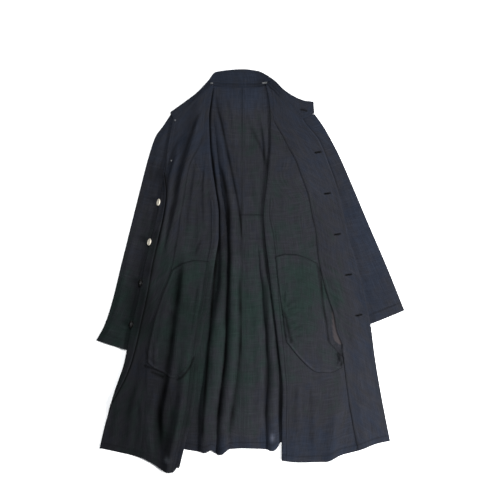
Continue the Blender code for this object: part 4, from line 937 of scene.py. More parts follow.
def fine_facing(half, front):
    keep = np.where(front["u"] >= FACING - 1e-6)[0][:-1]
    space = np.where(front["u"] > front["edge_column"] + 1e-6, IN_TURN, ON_PANEL)
    grid = (front["grid"] + (CLOTH + space)[None, :, None] * front["normal"])[1:-5][:, keep].copy()
    near = np.concatenate([[0], np.cumsum(np.hypot(*np.diff(grid[:, :, 0:3:2], axis=1).mean(0).T))])
    y = grid[:, :, 1]
    # the inner edge: a turned-in edge stands a little proud, and waves slightly
    shows = ease(((400.0 if half.name == "left" else 445.0) - y) / 30.0)
    lip = shows * 0.9 * np.exp(-(near / 3.0) ** 2)[None, :] * (1 + 0.8 * CRUMPLE.at(y / 30.0, near[None, :] / 60.0))
    grid[:, :, 2] += lip
    wave = 1.6 * UNEVEN.at(y / 55.0, 9.0 + 0 * y) * np.exp(-(near / 16.0))[None, :]
    grid[:, :, 0] += wave
    if half.name == "right":
        open_by = STAND_OUT(np.clip(y, -265, 25)) * np.exp(-(near / 34.0))[None, :]
        grid[:, :, 0] += open_by
        grid[:, :, 2] += 0.12 * open_by
    wear = np.repeat(0.3 * np.exp(-(near / 2.5) ** 2)[None, :], grid.shape[0], 0)
    low = y - y[-1][None, :]
    # painted shade along the inner edge where it stands proud
    line = 0.5 * np.exp(-(near / 2.4) ** 2)[None, :] * shows
    if half.name == "left":             # painted shadow under the free edge of the turned strip
        line *= 0.4 + 0.6 * ease((y + 300.0) / 50.0)
        off = grid[:, :, 0] - front["grid"][1:-5, -1, 0][:, None]
        line += 0.85 * np.exp(-((off - 1.6) / 3.0) ** 2) * ease(half.turn(y) / 12.0)
    # painted shade along the hem's stitched groove
    line = line + 0.35 * np.exp(-((low - HEM_BAND + 6.0) / 1.5) ** 2)
    return {"grid": grid, "near": near, "wear": wear, "line": line, "half": half, "normal": grid_normals(half, grid)}


POCKET_START = {"left": 0.06, "right": 0.12}   # share of the way from roll to facing
POCKET_MESH = {"left": (34, 92), "right": (66, 150)}   # cells across and along


def fine_pocket(half, front, across, along):
    """Pocket bag: on the front's points between roll and facing, cut to a D, moved out."""
    top = column(POCKETS[half.name], POCKET, "top")
    bottom = column(POCKETS[half.name], POCKET, "bottom")
    lifted = front["grid"] + (CLOTH + POCKET_GAP) * front["normal"]
    share_of = np.interp(front["u"], np.arange(CREST, FACING + 1), (0.0,) + INNER_SHARES)
    share_of = np.where(front["u"] < CREST, -1 + front["u"] / 100, share_of)
    t = np.linspace(0, 1, across + 1)
    t = t - 0.10 * np.sin(2 * np.pi * t) / 2
    rows = np.linspace(0, 1, along + 1)
    rows = rows - 0.10 * np.sin(2 * np.pi * rows) / 2
    grid = np.zeros((along + 1, across + 1, 3))
    for j, k in enumerate(t):
        share = POCKET_START[half.name] + (0.975 - POCKET_START[half.name]) * k
        i = int(np.clip(np.searchsorted(share_of, share) - 1, 0, len(share_of) - 2))
        f = (share - share_of[i]) / max(share_of[i + 1] - share_of[i], 1e-9)
        line = lifted[:, i] + np.clip(f, 0, 1) * (lifted[:, i + 1] - lifted[:, i])
        low = float(bottom(k))
        if half.name == "left":         # both lower corners hang a little lower than the plain solid's
            low -= 18.0 * float(ease((k - 0.6) / 0.4)) + 30.0 * float(ease(1 - k / 0.4))
        y = float(top(k)) + (low - float(top(k))) * rows
        grid[:, j, 0] = np.interp(-y, -line[:, 1], line[:, 0])
        grid[:, j, 1] = y
        grid[:, j, 2] = np.interp(-y, -line[:, 1], line[:, 2])
        if half.name == "right":
            grid[:, j, 0] += k**6 * BAG_IN(np.clip(y, -262, -60))
    rim = np.concatenate([grid[0], grid[:, -1], grid[-1][::-1], grid[::-1, 0]])[:, :2]
    flat = grid[:, :, :2].reshape(-1, 2)
    dist = np.full(len(flat), 1e9)
    for a in rim:
        dist = np.minimum(dist, np.hypot(flat[:, 0] - a[0], flat[:, 1] - a[1]))
    dist = dist.reshape(grid.shape[:2])
    x, y = grid[:, :, 0], grid[:, :, 1]
    full = 1.6 * ease(dist / 45.0) * (0.6 + 0.7 * BROAD.at(x / 50.0, y / 60.0 + half.d))
    grid[:, :, 2] += 1.1 * np.exp(-((dist - 2.4) / 2.2) ** 2) + np.maximum(full, 0) + 0.35 * ease(dist / 8) * CRUMPLE.at(x / 11.0, y / 14.0)
    grid[:, :, 2] += ease(dist / 6.0) * crease_field("pocket_bag_" + half.name, x, y, CRUMPLES)
    wear = 0.3 * np.exp(-(dist / 2.4) ** 2)
    # painted shade on the bag's rim and a painted highlight just inside it, towards the bottom
    line = 0.60 * np.exp(-(dist / 2.2) ** 2) - 0.30 * np.exp(-((dist - 5.0) / 2.4) ** 2) * ease((-190.0 - y) / 60.0)
    if half.name == "right":            # the painted rim shade hardly shows along the roll
        line = line * (1 - 0.55 * ease(1 - t / 0.12))[None, :]
    return {"grid": grid, "wear": wear, "line": line, "dist": dist, "half": half, "rim": rim, "normal": grid_normals(half, grid)}


def fine_sleeve(half):
    d = half.d
    under = [("under", k) for k in np.linspace(0, 0.94, 13)]
    fold = [("fold", k) for k in np.linspace(0.08, 0.92, 8)]
    over = [("over", k) for k in np.concatenate([np.linspace(0.96, 0.06, 44), [0.0]])]
    cols = under + fold + over
    inner_y, outer_y = CUFF_Y[half.name]
    rows = np.concatenate([np.linspace(0, 0.9, 150), 0.9 + 0.1 * (1 - (1 - np.arange(1, 31) / 30) ** 1.4)])
    grid = np.zeros((len(rows), len(cols), 3))
    wear, line = np.zeros(grid.shape[:2]), np.zeros(grid.shape[:2])
    for i, (kind, k) in enumerate(cols):
        share = 1.0 if kind == "fold" else k
        end = inner_y + share * (outer_y - inner_y)
        y = SHOULDER_TIP_Y - 1.0 + (end - SHOULDER_TIP_Y + 1.0) * rows
        lo, hi = half.inner(y), half.outer(y) - d * UNDER_R
        h = y - end
        if kind == "fold":
            a = math.pi * k
            x = hi + d * UNDER_R * math.sin(a)
            z = FLOOR_MID + UNDER_R - UNDER_R * math.cos(a) + 0 * y
        else:
            x = lo + k * (hi - lo)
            z = FLOOR_MID + 0 * y
            if kind == "over":
                shown = ease((d * (x - half.edge(y)) + 2.0) / 22.0)
                slope = ease((d * (hi - x)) / 20.0)
                lift = crease_field("sleeve_" + half.name, x, y) + 0.8 + 0.9 * cloth_noise(x, y, 12.0 + d)
                puff = shown * slope * (SLEEVE_PUFF[half.name] + 1.5 * np.exp(-h / 45.0) + keep_above(lift, 1.5))
                z = z + 2 * UNDER_R + puff
                q = h - CUFF_BAND
                hem = HEM_RISE * ease(-q / 1.8 + 0.5) - 0.45 * np.exp(-((q + 2.2) / 1.3) ** 2)
                z = z + hem * ease((d * (hi - x)) / 8.0) * shown
                if k == 0.0:
                    z = z - ease((UNDERARM_Y - 20.0 - y) / 40.0) * (2 * UNDER_R - CLOTH - SEAM)
        grid[:, i] = np.stack([x, y, z], 1)
        wear[:, i] = np.exp(-(h / 3.0) ** 2)
        # painted shade along the cuff's stitched groove
        line[:, i] = 0.35 * np.exp(-((h - CUFF_BAND + 2.2) / 1.5) ** 2)
        if half.name == "right":
            # painted shadow on the right sleeve beside the front's edge
            line[:, i] += 0.4 * np.exp(-((x - half.edge(y) - 2.5) / 2.6) ** 2) * ease((y - 200.0) / 60.0)
    return {"grid": grid, "wear": wear, "line": line, "half": half, "cols": cols}


def fine_collar(backs, fronts):
    seam = []
    for side in ("left", "right"):
        front = fronts[side]
        use = np.where((front["u"] >= 4 - 1e-6) & (front["u"] <= front["edge_column"] + 1e-6))[0]
        line = front["grid"][0, use]
        half = front["half"]
        back = backs[side]["grid"][0]
        shown = back[half.d * (float(half.roll(535.0)) - back[:, 0]) > 1.0]
        if side == "left":
            seam += list(line[::-1]) + list(shown[:0:-1]) + [np.array([CENTRE_BACK_X, NECK_BACK_Y[0], FLOOR_MID])]
        else:
            seam += list(shown[1:]) + list(line)
    seam = np.array(seam)
    run = np.concatenate([[0], np.cumsum(np.hypot(*np.diff(seam[:, :2], axis=0).T))])
    share = run / run[-1]
    edge = np.stack([column(COLLAR_EDGE, COLLAR, k)(share) for k in COLLAR[1:]], 1)
    out = edge - seam
    out[:, 2] = 0
    out /= np.linalg.norm(out, axis=1)[:, None]
    steep = np.abs(np.gradient(seam[:, 2])) / (np.abs(np.gradient(seam[:, 0])) + 0.3)
    steep = np.convolve(np.pad(steep, 3, mode="edge"), np.ones(7) / 7, mode="valid")
    seam = seam - out * 2.6
    seam[:, 1] += np.minimum(1.5 * steep, 1.5)
    seam[:, 0] -= 8.0 * ease(1 - share / 0.035)      # left end covers the front's corner
    seam[:, 2] = np.maximum(seam[:, 2] + (COLLAR_WALL + CLOTH) / 2 + 0.1, COLLAR_WALL / 2)
    edge[:, 2] = np.maximum(edge[:, 2], COLLAR_WALL / 2)
    tab_seam, tab_edge = np.array(COLLAR_TAB[0], float), np.array(COLLAR_TAB[1], float)
    k = np.linspace(0, 1, 10)[1:, None]
    seam = np.vstack([seam, seam[-1] + k * (tab_seam - seam[-1]) + np.array([0, -2.0, 0]) * np.sin(np.pi * k)])
    edge = np.vstack([edge, edge[-1] + k * (tab_edge - edge[-1])])
    across = np.linspace(0, 1, 16)
    grid = np.stack([seam + t * (edge - seam) for t in across], 1)
    depth = np.linalg.norm(edge - seam, axis=1)[:, None]
    mm = across[None, :] * depth
    x, y = grid[:, :, 0], grid[:, :, 1]
    bulge = 1.2 * np.sin(np.pi * across)[None, :] * (1 + 0.6 * BROAD.at(x / 40.0, y / 40.0))
    seams = 0.6 * band(mm - 2.0, 6.0, 1.6) + 0.5 * np.exp(-((depth - mm - 1.5) / 1.8) ** 2)
    wrinkle = 0.5 * CRUMPLE.at(x / 12.0, y / 20.0) * np.sin(np.pi * across)[None, :]
    grid[:, :, 2] += np.maximum(bulge + seams + wrinkle, 0.0)
    wear = 0.8 * np.exp(-((depth - mm) / 2.5) ** 2)
    n = np.cross(np.gradient(grid, axis=0), np.gradient(grid, axis=1))
    n *= np.sign(n[:, :, 2:3])
    share = np.concatenate([share, np.ones(len(grid) - len(share))])[:, None]
    # painted shade over the collar's middle and right-hand part, and along its two seam lines
    middle = ease((share - 0.26) / 0.1) * ease((0.84 - share) / 0.12)
    line = 0.10 * middle + 0.18 * ease((share - 0.58) / 0.05) * ease((0.80 - share) / 0.08)
    line = line + (0.08 + 0.3 * middle) * (np.exp(-((mm - 2.2) / 1.6) ** 2) + 0.9 * np.exp(-((mm - 10.0) / 1.6) ** 2))
    return {"grid": grid, "wear": wear, "line": line, "mm": mm, "normal": n / np.linalg.norm(n, axis=2)[:, :, None]}


# ------------------------------------------------------------------ materials
def new_node(tree, kind, values=None, **settings):
    node = tree.nodes.new(kind)
    for key, value in settings.items():
        setattr(node, key, value)
    for key, value in (values or {}).items():
        node.inputs[key].default_value = value
    return node


def maths(tree, operation, a, b):
    node = tree.nodes.new("ShaderNodeMath")
    node.operation = operation
    for socket, value in zip(node.inputs, (a, b)):
        if isinstance(value, (int, float)):
            socket.default_value = value
        else:
            tree.links.new(value, socket)
    return node.outputs[0]


def mixed(tree, factor, a, b, blend="MIX"):
    node = tree.nodes.new("ShaderNodeMix")
    node.data_type = "RGBA"
    node.blend_type = blend
    for socket, value in ((node.inputs[0], factor), (node.inputs[6], a), (node.inputs[7], b)):
        if isinstance(value, (int, float)):
            socket.default_value = value
        elif isinstance(value, tuple):
            socket.default_value = (*value, 1.0)
        else:
            tree.links.new(value, socket)
    return node.outputs[2]


def stepped(tree, value, low, high):
    node = new_node(tree, "ShaderNodeMapRange", {"From Min": low, "From Max": high})
    tree.links.new(value, node.inputs["Value"])
    return node.outputs[0]


def linen(name, seed):
    """Plain-weave linen: threads, slubs both ways, uneven colour, paler worn edges, and painted light and shade."""
    mat = bpy.data.materials.new(name)
    mat.use_nodes = True
    tree = mat.node_tree
    shader = tree.nodes["Principled BSDF"]
    place = new_node(tree, "ShaderNodeUVMap", uv_map="weave").outputs[0]

    def scaled(u, v, shift):
        node = new_node(tree, "ShaderNodeMapping", {"Scale": (u, v, 1.0), "Location": (shift, shift, 0.0)})
        tree.links.new(place, node.inputs["Vector"])
        return node.outputs[0]

    def noise(u, v, shift, detail, rough=0.5):
        node = new_node(tree, "ShaderNodeTexNoise", {"Scale": 1.0, "Detail": detail, "Roughness": rough}, noise_dimensions="2D")
        tree.links.new(scaled(u, v, shift), node.inputs["Vector"])
        return node.outputs[0]

    def threads(direction):
        node = new_node(tree, "ShaderNodeTexWave", {"Scale": 480.0, "Distortion": 1.6, "Detail": 1.0, "Detail Scale": 0.12},
                        bands_direction=direction)
        tree.links.new(place, node.inputs["Vector"])
        return node.outputs[1]

    def attribute(key):
        return new_node(tree, "ShaderNodeAttribute", attribute_name=key).outputs["Fac"]

    warp, weft = threads("X"), threads("Y")
    weave = maths(tree, "ADD", maths(tree, "MULTIPLY", warp, 0.5), maths(tree, "MULTIPLY", weft, 0.5))
    slub = maths(tree, "MAXIMUM", stepped(tree, noise(850.0, 16.0, seed, 2.0), 0.45, 0.8),
                 stepped(tree, noise(16.0, 850.0, seed + 5.0, 2.0), 0.45, 0.8))
    streak = maths(tree, "ADD", noise(330.0, 24.0, seed + 2.0, 2.0), noise(24.0, 330.0, seed + 7.0, 2.0))
    rub = noise(120.0, 120.0, seed + 3.0, 3.0)
    mottle = noise(38.0, 30.0, seed + 9.0, 3.0, 0.6)
    tone = maths(tree, "ADD", attribute("tone"), maths(tree, "MULTIPLY", maths(tree, "SUBTRACT", mottle, 0.5), 1.7))
    base = mixed(tree, stepped(tree, tone, 0.0, 1.0), GREY, BLUE)
    base = mixed(tree, stepped(tree, tone, 0.0, -1.0), base, GREEN)
    uneven = maths(tree, "ADD", maths(tree, "MULTIPLY", streak, STREAK), 1.0 - STREAK)
    uneven = maths(tree, "MULTIPLY", uneven, maths(tree, "ADD", maths(tree, "MULTIPLY", slub, 0.60), 0.98))
    uneven = maths(tree, "MULTIPLY", uneven, maths(tree, "ADD", maths(tree, "MULTIPLY", weave, 0.5), 0.6))
    # painted light and shade multiply into the colour here
    base = mixed(tree, 1.0, base, maths(tree, "MULTIPLY", uneven, attribute("shade")), "MULTIPLY")
    worn = tuple(2.0 * c + 0.006 for c in GREY)
    base = mixed(tree, maths(tree, "MULTIPLY", maths(tree, "MULTIPLY", attribute("wear"), rub), 0.35), base, worn)
    base = mixed(tree, attribute("pale"), base, PALE)
    tree.links.new(base, shader.inputs["Base Color"])
    rough = maths(tree, "ADD", maths(tree, "MULTIPLY", rub, 0.16), 0.76)
    tree.links.new(rough, shader.inputs["Roughness"])
    shader.inputs["Specular IOR Level"].default_value = 0.05
    shader.inputs["Sheen Weight"].default_value = 0.012
    shader.inputs["Sheen Roughness"].default_value = 0.5
    shader.inputs["Sheen Tint"].default_value = (0.70, 0.82, 1.0, 1.0)
    height = maths(tree, "ADD", weave, maths(tree, "MULTIPLY", slub, 0.8))
    bump = new_node(tree, "ShaderNodeBump", {"Strength": 0.35, "Distance": 0.0003})
    tree.links.new(height, bump.inputs["Height"])
    tree.links.new(bump.outputs[0], shader.inputs["Normal"])
    return mat


def thread_material(name, colour):
    mat = bpy.data.materials.new(name)
    mat.use_nodes = True
    tree = mat.node_tree
    shader = tree.nodes["Principled BSDF"]
    place = new_node(tree, "ShaderNodeTexCoord").outputs["Object"]
    noise = new_node(tree, "ShaderNodeTexNoise", {"Scale": 900.0, "Detail": 2.0})
    tree.links.new(place, noise.inputs["Vector"])
    base = mixed(tree, noise.outputs[0], tuple(0.7 * c for c in colour), tuple(1.3 * c for c in colour))
    tree.links.new(base, shader.inputs["Base Color"])
    bump = new_node(tree, "ShaderNodeBump", {"Strength": 0.4, "Distance": 0.0002})
    tree.links.new(noise.outputs[0], bump.inputs["Height"])
    tree.links.new(bump.outputs[0], shader.inputs["Normal"])
    shader.inputs["Roughness"].default_value = 0.6
    shader.inputs["Specular IOR Level"].default_value = 0.12
    return mat


def shell_material(name, dark, light, gloss):
    """Polished button: cloudy growth bands, fine scratches in the gloss."""
    mat = bpy.data.materials.new(name)
    mat.use_nodes = True
    tree = mat.node_tree
    shader = tree.nodes["Principled BSDF"]
    place = new_node(tree, "ShaderNodeTexCoord").outputs["Object"]
    clouds = new_node(tree, "ShaderNodeTexNoise", {"Scale": 170.0, "Detail": 3.0, "Distortion": 1.2})
    scratch = new_node(tree, "ShaderNodeTexNoise", {"Scale": 1400.0, "Detail": 2.0})
    for node in (clouds, scratch):
        tree.links.new(place, node.inputs["Vector"])
    base = mixed(tree, stepped(tree, clouds.outputs[0], 0.3, 0.7), dark, light)
    tree.links.new(base, shader.inputs["Base Color"])
    rough = maths(tree, "ADD", maths(tree, "MULTIPLY", scratch.outputs[0], 0.14), gloss)
    tree.links.new(rough, shader.inputs["Roughness"])
    shader.inputs["Specular IOR Level"].default_value = 0.08
    return mat


PALE = (0.031, 0.027, 0.029)
GREY, BLUE, GREEN = (0.0140, 0.0143, 0.0175), (0.0112, 0.0140, 0.0216), (0.0094, 0.0160, 0.0146)
STREAK = 0.50          # strength of the thicker threads
# The colour: bluer (above 0) or greener (below 0) about a place, with its reach each way.
TONE = ("hue", "x", "y", "reach_x", "reach_y")
TONES = (
    (1.0, -20, 570, 260, 60), (0.7, -210, 400, 90, 120), (0.7, 200, 430, 120, 110), (0.85, 350, 60, 70, 330),
    (0.35, 270, 220, 60, 160), (0.7, 270, -500, 200, 80), (0.8, -60, -515, 200, 40), (0.35, -90, 330, 40, 150),
    (-0.55, 40, 110, 60, 110), (0.6, -10, 500, 75, 45), (-0.45, 265, -70, 60, 110),
    (-1.0, -390, -120, 70, 140), (-0.9, -185, -110, 80, 150), (-0.9, -20, -160, 60, 170), (-1.0, 130, -70, 70, 120),
    (-0.6, -300, -480, 110, 60), (-0.5, -150, -330, 70, 110), (-0.4, -260, 60, 50, 80),
)


def tone_at(x, y):
    tone = 0.20 * BROAD.at(x / 85.0 + 21, y / 95.0) + 0.30 * DRAPE_NOISE.at(x / 42.0 + 5, y / 60.0 + 3)
    for hue, cx, cy, rx, ry in TONES:
        tone = tone + hue * np.exp(-((x - cx) / rx) ** 2 - ((y - cy) / ry) ** 2)
    return np.clip(tone, -1, 1)


# Painted highlights: x, y, reach each way, how much.
PAINTED_HIGHLIGHTS = ((64, -484, 6, 12, 2.4), (-240, -546, 7, 9, 2.2))
# Larger places painted lighter (above 0) or darker, as painted light and shade: x, y, reach each way, how much.
PAINTED_LIGHT_AND_SHADE_PATCHES = (
    (-5, 455, 60, 75, 0.20), (195, 280, 55, 120, 0.14), (375, -85, 60, 100, -0.14), (200, -420, 90, 90, -0.09),
    (-180, -115, 55, 110, -0.22), (-305, -130, 30, 110, -0.28), (-150, 175, 40, 110, -0.12), (150, -85, 50, 100, -0.08),
    (0, -450, 80, 60, 0.12), (-30, 560, 120, 30, 0.08),
)


def painted_shade_at(x, y):
    """Painted light and shade: the left front and sleeve are painted darker towards the hem."""
    left = 0.4 * ease((-x - 10.0) / 120.0) + 0.6 * ease((-x - 130.0) / 100.0)
    shade = 1 - (0.10 + 0.20 * ease((80.0 - y) / 200.0) + 0.14 * ease((-180.0 - y) / 250.0)) * left
    shade = shade + 0.06 * ease((-150.0 - y) / 300.0) * ease((x + 60.0) / 80.0)
    for cx, cy, rx, ry, much in PAINTED_LIGHT_AND_SHADE_PATCHES:
        shade = shade * (1 + much * np.exp(-((x - cx) / rx) ** 2 - ((y - cy) / ry) ** 2))
    # painted highlights, added on top of the painted shade
    for cx, cy, rx, ry, much in PAINTED_HIGHLIGHTS:
        shade = shade + much * np.exp(-((x - cx) / rx) ** 2 - ((y - cy) / ry) ** 2)
    return shade


CLOTHS = {kind: linen("linen_" + kind, seed) for kind, seed in
          (("back", 1.0), ("front", 4.0), ("facing", 8.0), ("pocket", 12.0), ("sleeve", 16.0), ("collar", 20.0))}
THREAD = thread_material("thread_dark", (0.0060, 0.0070, 0.0092))
THREAD_BLACK = thread_material("thread_black", (0.0030, 0.0033, 0.0040))
THREAD_PALE = thread_material("thread_pale", (0.095, 0.098, 0.102))
THREAD_CREAM = thread_material("thread_cream", (0.60, 0.54, 0.43))
SHELL_DARK = shell_material("button_dark", (0.0010, 0.0010, 0.0010), (0.0036, 0.0033, 0.0030), 0.10)
# pale shell: a painted reflection of the light, used on two of the dark buttons
SHELL_PAINTED_REFLECTION = shell_material("button_pale", (0.56, 0.49, 0.38), (0.80, 0.75, 0.65), 0.24)


# ------------------------------------------------------------------ objects
def link(name, mesh):
    obj = bpy.data.objects.new(name, mesh)
    bpy.context.scene.collection.objects.link(obj)
    return obj


def cloth(name, data, wall, mat, sharp=50.0):
    """Closed shell of cloth on a fine grid, with its weave's own map in metres."""
    grid = data["grid"]
    rows, cols = grid.shape[:2]
    index = np.arange(rows * cols).reshape(rows, cols)
    quads = np.stack([index[:-1, :-1], index[:-1, 1:], index[1:, 1:], index[1:, :-1]], -1).reshape(-1, 4)
    mesh = bpy.data.meshes.new(name)
    mesh.from_pydata((grid.reshape(-1, 3) / 1000.0).tolist(), [], quads.tolist())
    step = np.linalg.norm(np.diff(grid, axis=1), axis=2)
    across = np.concatenate([np.zeros((rows, 1)), np.cumsum(step, 1)], 1) / 1000.0
    step = np.linalg.norm(np.diff(grid, axis=0), axis=2)
    along = np.concatenate([np.zeros((1, cols)), np.cumsum(step, 0)], 0) / 1000.0
    flat = np.stack([across, along], 2).reshape(-1, 2)
    corner = np.empty(len(mesh.loops), int)
    mesh.loops.foreach_get("vertex_index", corner)
    mesh.uv_layers.new(name="weave").data.foreach_set("uv", flat[corner].astype(np.float32).ravel())
    data["tone"] = tone_at(grid[:, :, 0], grid[:, :, 1])
    # painted light and shade, from the place and from each panel's painted lines, stored as one attribute
    data["shade"] = painted_shade_at(grid[:, :, 0], grid[:, :, 1]) * (1 - data["line"])
    for key in ("wear", "pale", "tone", "shade"):
        value = data.get(key, np.zeros((rows, cols)))
        mesh.attributes.new(key, "FLOAT", "POINT").data.foreach_set("value", np.asarray(value, np.float32).ravel())
    mesh.materials.append(mat)
    obj = link(name, mesh)
    solid = obj.modifiers.new("wall", "SOLIDIFY")
    solid.thickness = wall / 1000.0
    solid.offset = 0.0
    data["area"] = float(sum(p.area for p in mesh.polygons))
    data["flat"] = (float(across[:, -1].max()), float(along[-1].max()))
    return obj


def settle(obj, sharp=50.0):
    """Applies the modifiers and smooths the shading."""
    made = bpy.data.meshes.new_from_object(obj.evaluated_get(bpy.context.evaluated_depsgraph_get()))
    old = obj.data
    obj.modifiers.clear()
    obj.data = made
    made.name = obj.name
    bpy.data.meshes.remove(old)
    made.polygons.foreach_set("use_smooth", np.ones(len(made.polygons), bool))
    made.set_sharp_from_angle(angle=math.radians(sharp))


class Sewing:
    """Stitches of one panel, gathered into one mesh of small rounded bars."""

    def __init__(self):
        self.verts, self.faces = [], []

    def bar(self, at, along, up, long, wide, high):
        along = along / np.linalg.norm(along)
        side = np.cross(up, along)
        side = side / np.linalg.norm(side)
        n = len(self.verts)
        for level, k in ((-0.12, 1.0), (0.62 * high, 0.92), (high, 0.5)):
            for a, b in ((-1, -1), (1, -1), (1, 1), (-1, 1)):
                ends = k if level > 0.7 * high else min(1.0, k + 0.05)
                self.verts.append(at + along * (a * long / 2 * ends) + side * (b * wide / 2 * k) + up * level)
        for ring in (0, 4):
            for i in range(4):
                j = (i + 1) % 4
                self.faces.append((n + ring + i, n + ring + j, n + ring + 4 + j, n + ring + 4 + i))
        self.faces.append((n + 8, n + 9, n + 10, n + 11))
        self.faces.append((n + 3, n + 2, n + 1, n))

    def line(self, points, normals, pitch=3.6, long=2.7, wide=0.7, high=0.42):
        points, normals = np.asarray(points, float), np.asarray(normals, float)
        run = np.concatenate([[0], np.cumsum(np.linalg.norm(np.diff(points, axis=0), axis=1))])
        at = np.arange(pitch, run[-1] - pitch, pitch)
        put = lambda t: np.stack([np.interp(t, run, points[:, k]) for k in range(3)], 1)
        here, ahead, behind = put(at), put(at + 0.4 * long), put(at - 0.4 * long)
        up = np.stack([np.interp(at, run, normals[:, k]) for k in range(3)], 1)
        up /= np.linalg.norm(up, axis=1)[:, None]
        for p, t, n in zip(here, ahead - behind, up):
            self.bar(p, t, n, long, wide, high)

    def make(self, name, mat):
        mesh = bpy.data.meshes.new(name)
        mesh.from_pydata((np.array(self.verts) / 1000.0).tolist(), [], self.faces)
        mesh.materials.append(mat)
        mesh.polygons.foreach_set("use_smooth", np.ones(len(mesh.polygons), bool))
        return link(name, mesh)


def up_from(data, wall=WALL):
    return data["grid"] + data["normal"] * (wall / 2)


def level_line(top, normal, height, at, keep):
    """Points where a per-column measure (falling along the rows) equals a value."""
    points, normals = [], []
    for j in np.where(keep)[0]:
        h = height[:, j]
        points.append([np.interp(-at, -h, top[:, j, k]) for k in range(3)])
        normals.append([np.interp(-at, -h, normal[:, j, k]) for k in range(3)])
    return points, normals


backs = {h.name: fine_back(h) for h in (LEFT, RIGHT)}
fronts = {h.name: fine_front(h) for h in (LEFT, RIGHT)}
pieces, sewn, panels = {}, {}, {}
for half in (LEFT, RIGHT):
    n = half.name
    panels["back_" + n] = backs[n]
    panels["front_" + n] = fronts[n]
    panels["facing_" + n] = fine_facing(half, fronts[n])
    panels["pocket_bag_" + n] = fine_pocket(half, fronts[n], *POCKET_MESH[n])
    panels["sleeve_" + n] = fine_sleeve(half)
panels["collar"] = fine_collar(backs, fronts)
for name, data in panels.items():
    kind = name.split("_")[0]
    under = name.replace("facing", "front").replace("pocket_bag", "front")
    # painted shade and painted highlights: the table of painted lines darkens or lightens each panel
    painted_line_shading = np.clip(crease_field(under, data["grid"][:, :, 0], data["grid"][:, :, 1], PAINTED_SHADE_AND_LIGHT_LINES), -0.35, 0.88)
    data["line"] = 1 - (1 - np.clip(data["line"], -0.6, 0.9)) * (1 - painted_line_shading)
    pieces[name] = cloth(name + "_cloth", data, 1.8 if name == "collar" else WALL, CLOTHS[kind])

# buttonholes: slits cut right through
slits = {}
for i, (x, y, angle) in enumerate(BUTTONHOLES):
    bm = bmesh.new()
    bmesh.ops.create_cone(bm, cap_ends=True, segments=16, radius1=0.5, radius2=0.5, depth=1.0)
    for v in bm.verts:
        v.co.x = math.copysign(min(abs(v.co.x) * 1.25, 0.5), v.co.x)
    size = Matrix.Diagonal((0.0185, 0.0034, 0.06, 1.0))
    level = 0.0
    if i == 0:                          # lips of the collar's hole meet underneath
        grid = panels["collar"]["grid"]
        near = np.argmin(np.hypot(grid[:, :, 0] - x, grid[:, :, 1] - y))
        size, level = Matrix.Diagonal((0.0170, 0.0024, 0.06, 1.0)), grid.reshape(-1, 3)[near, 2] / 1000.0 + 0.0296
    bm.transform(Matrix.Translation((x / 1000.0, y / 1000.0, level)) @ Matrix.Rotation(math.radians(angle), 4, "Z") @ size)
    mesh = bpy.data.meshes.new("slit_%d" % (i + 1))
    bm.to_mesh(mesh)
    bm.free()
    slits[i] = link("slit_%d" % (i + 1), mesh)
    for node in (("collar",) if i == 0 else ("front_right", "facing_right")):
        mod = pieces[node].modifiers.new("slit", "BOOLEAN")
        mod.operation = "DIFFERENCE"
        mod.solver = "EXACT"
        mod.object = slits[i]
for obj in pieces.values():
    settle(obj)
for obj in slits.values():
    mesh = obj.data
    bpy.data.objects.remove(obj, do_unlink=True)
    bpy.data.meshes.remove(mesh)

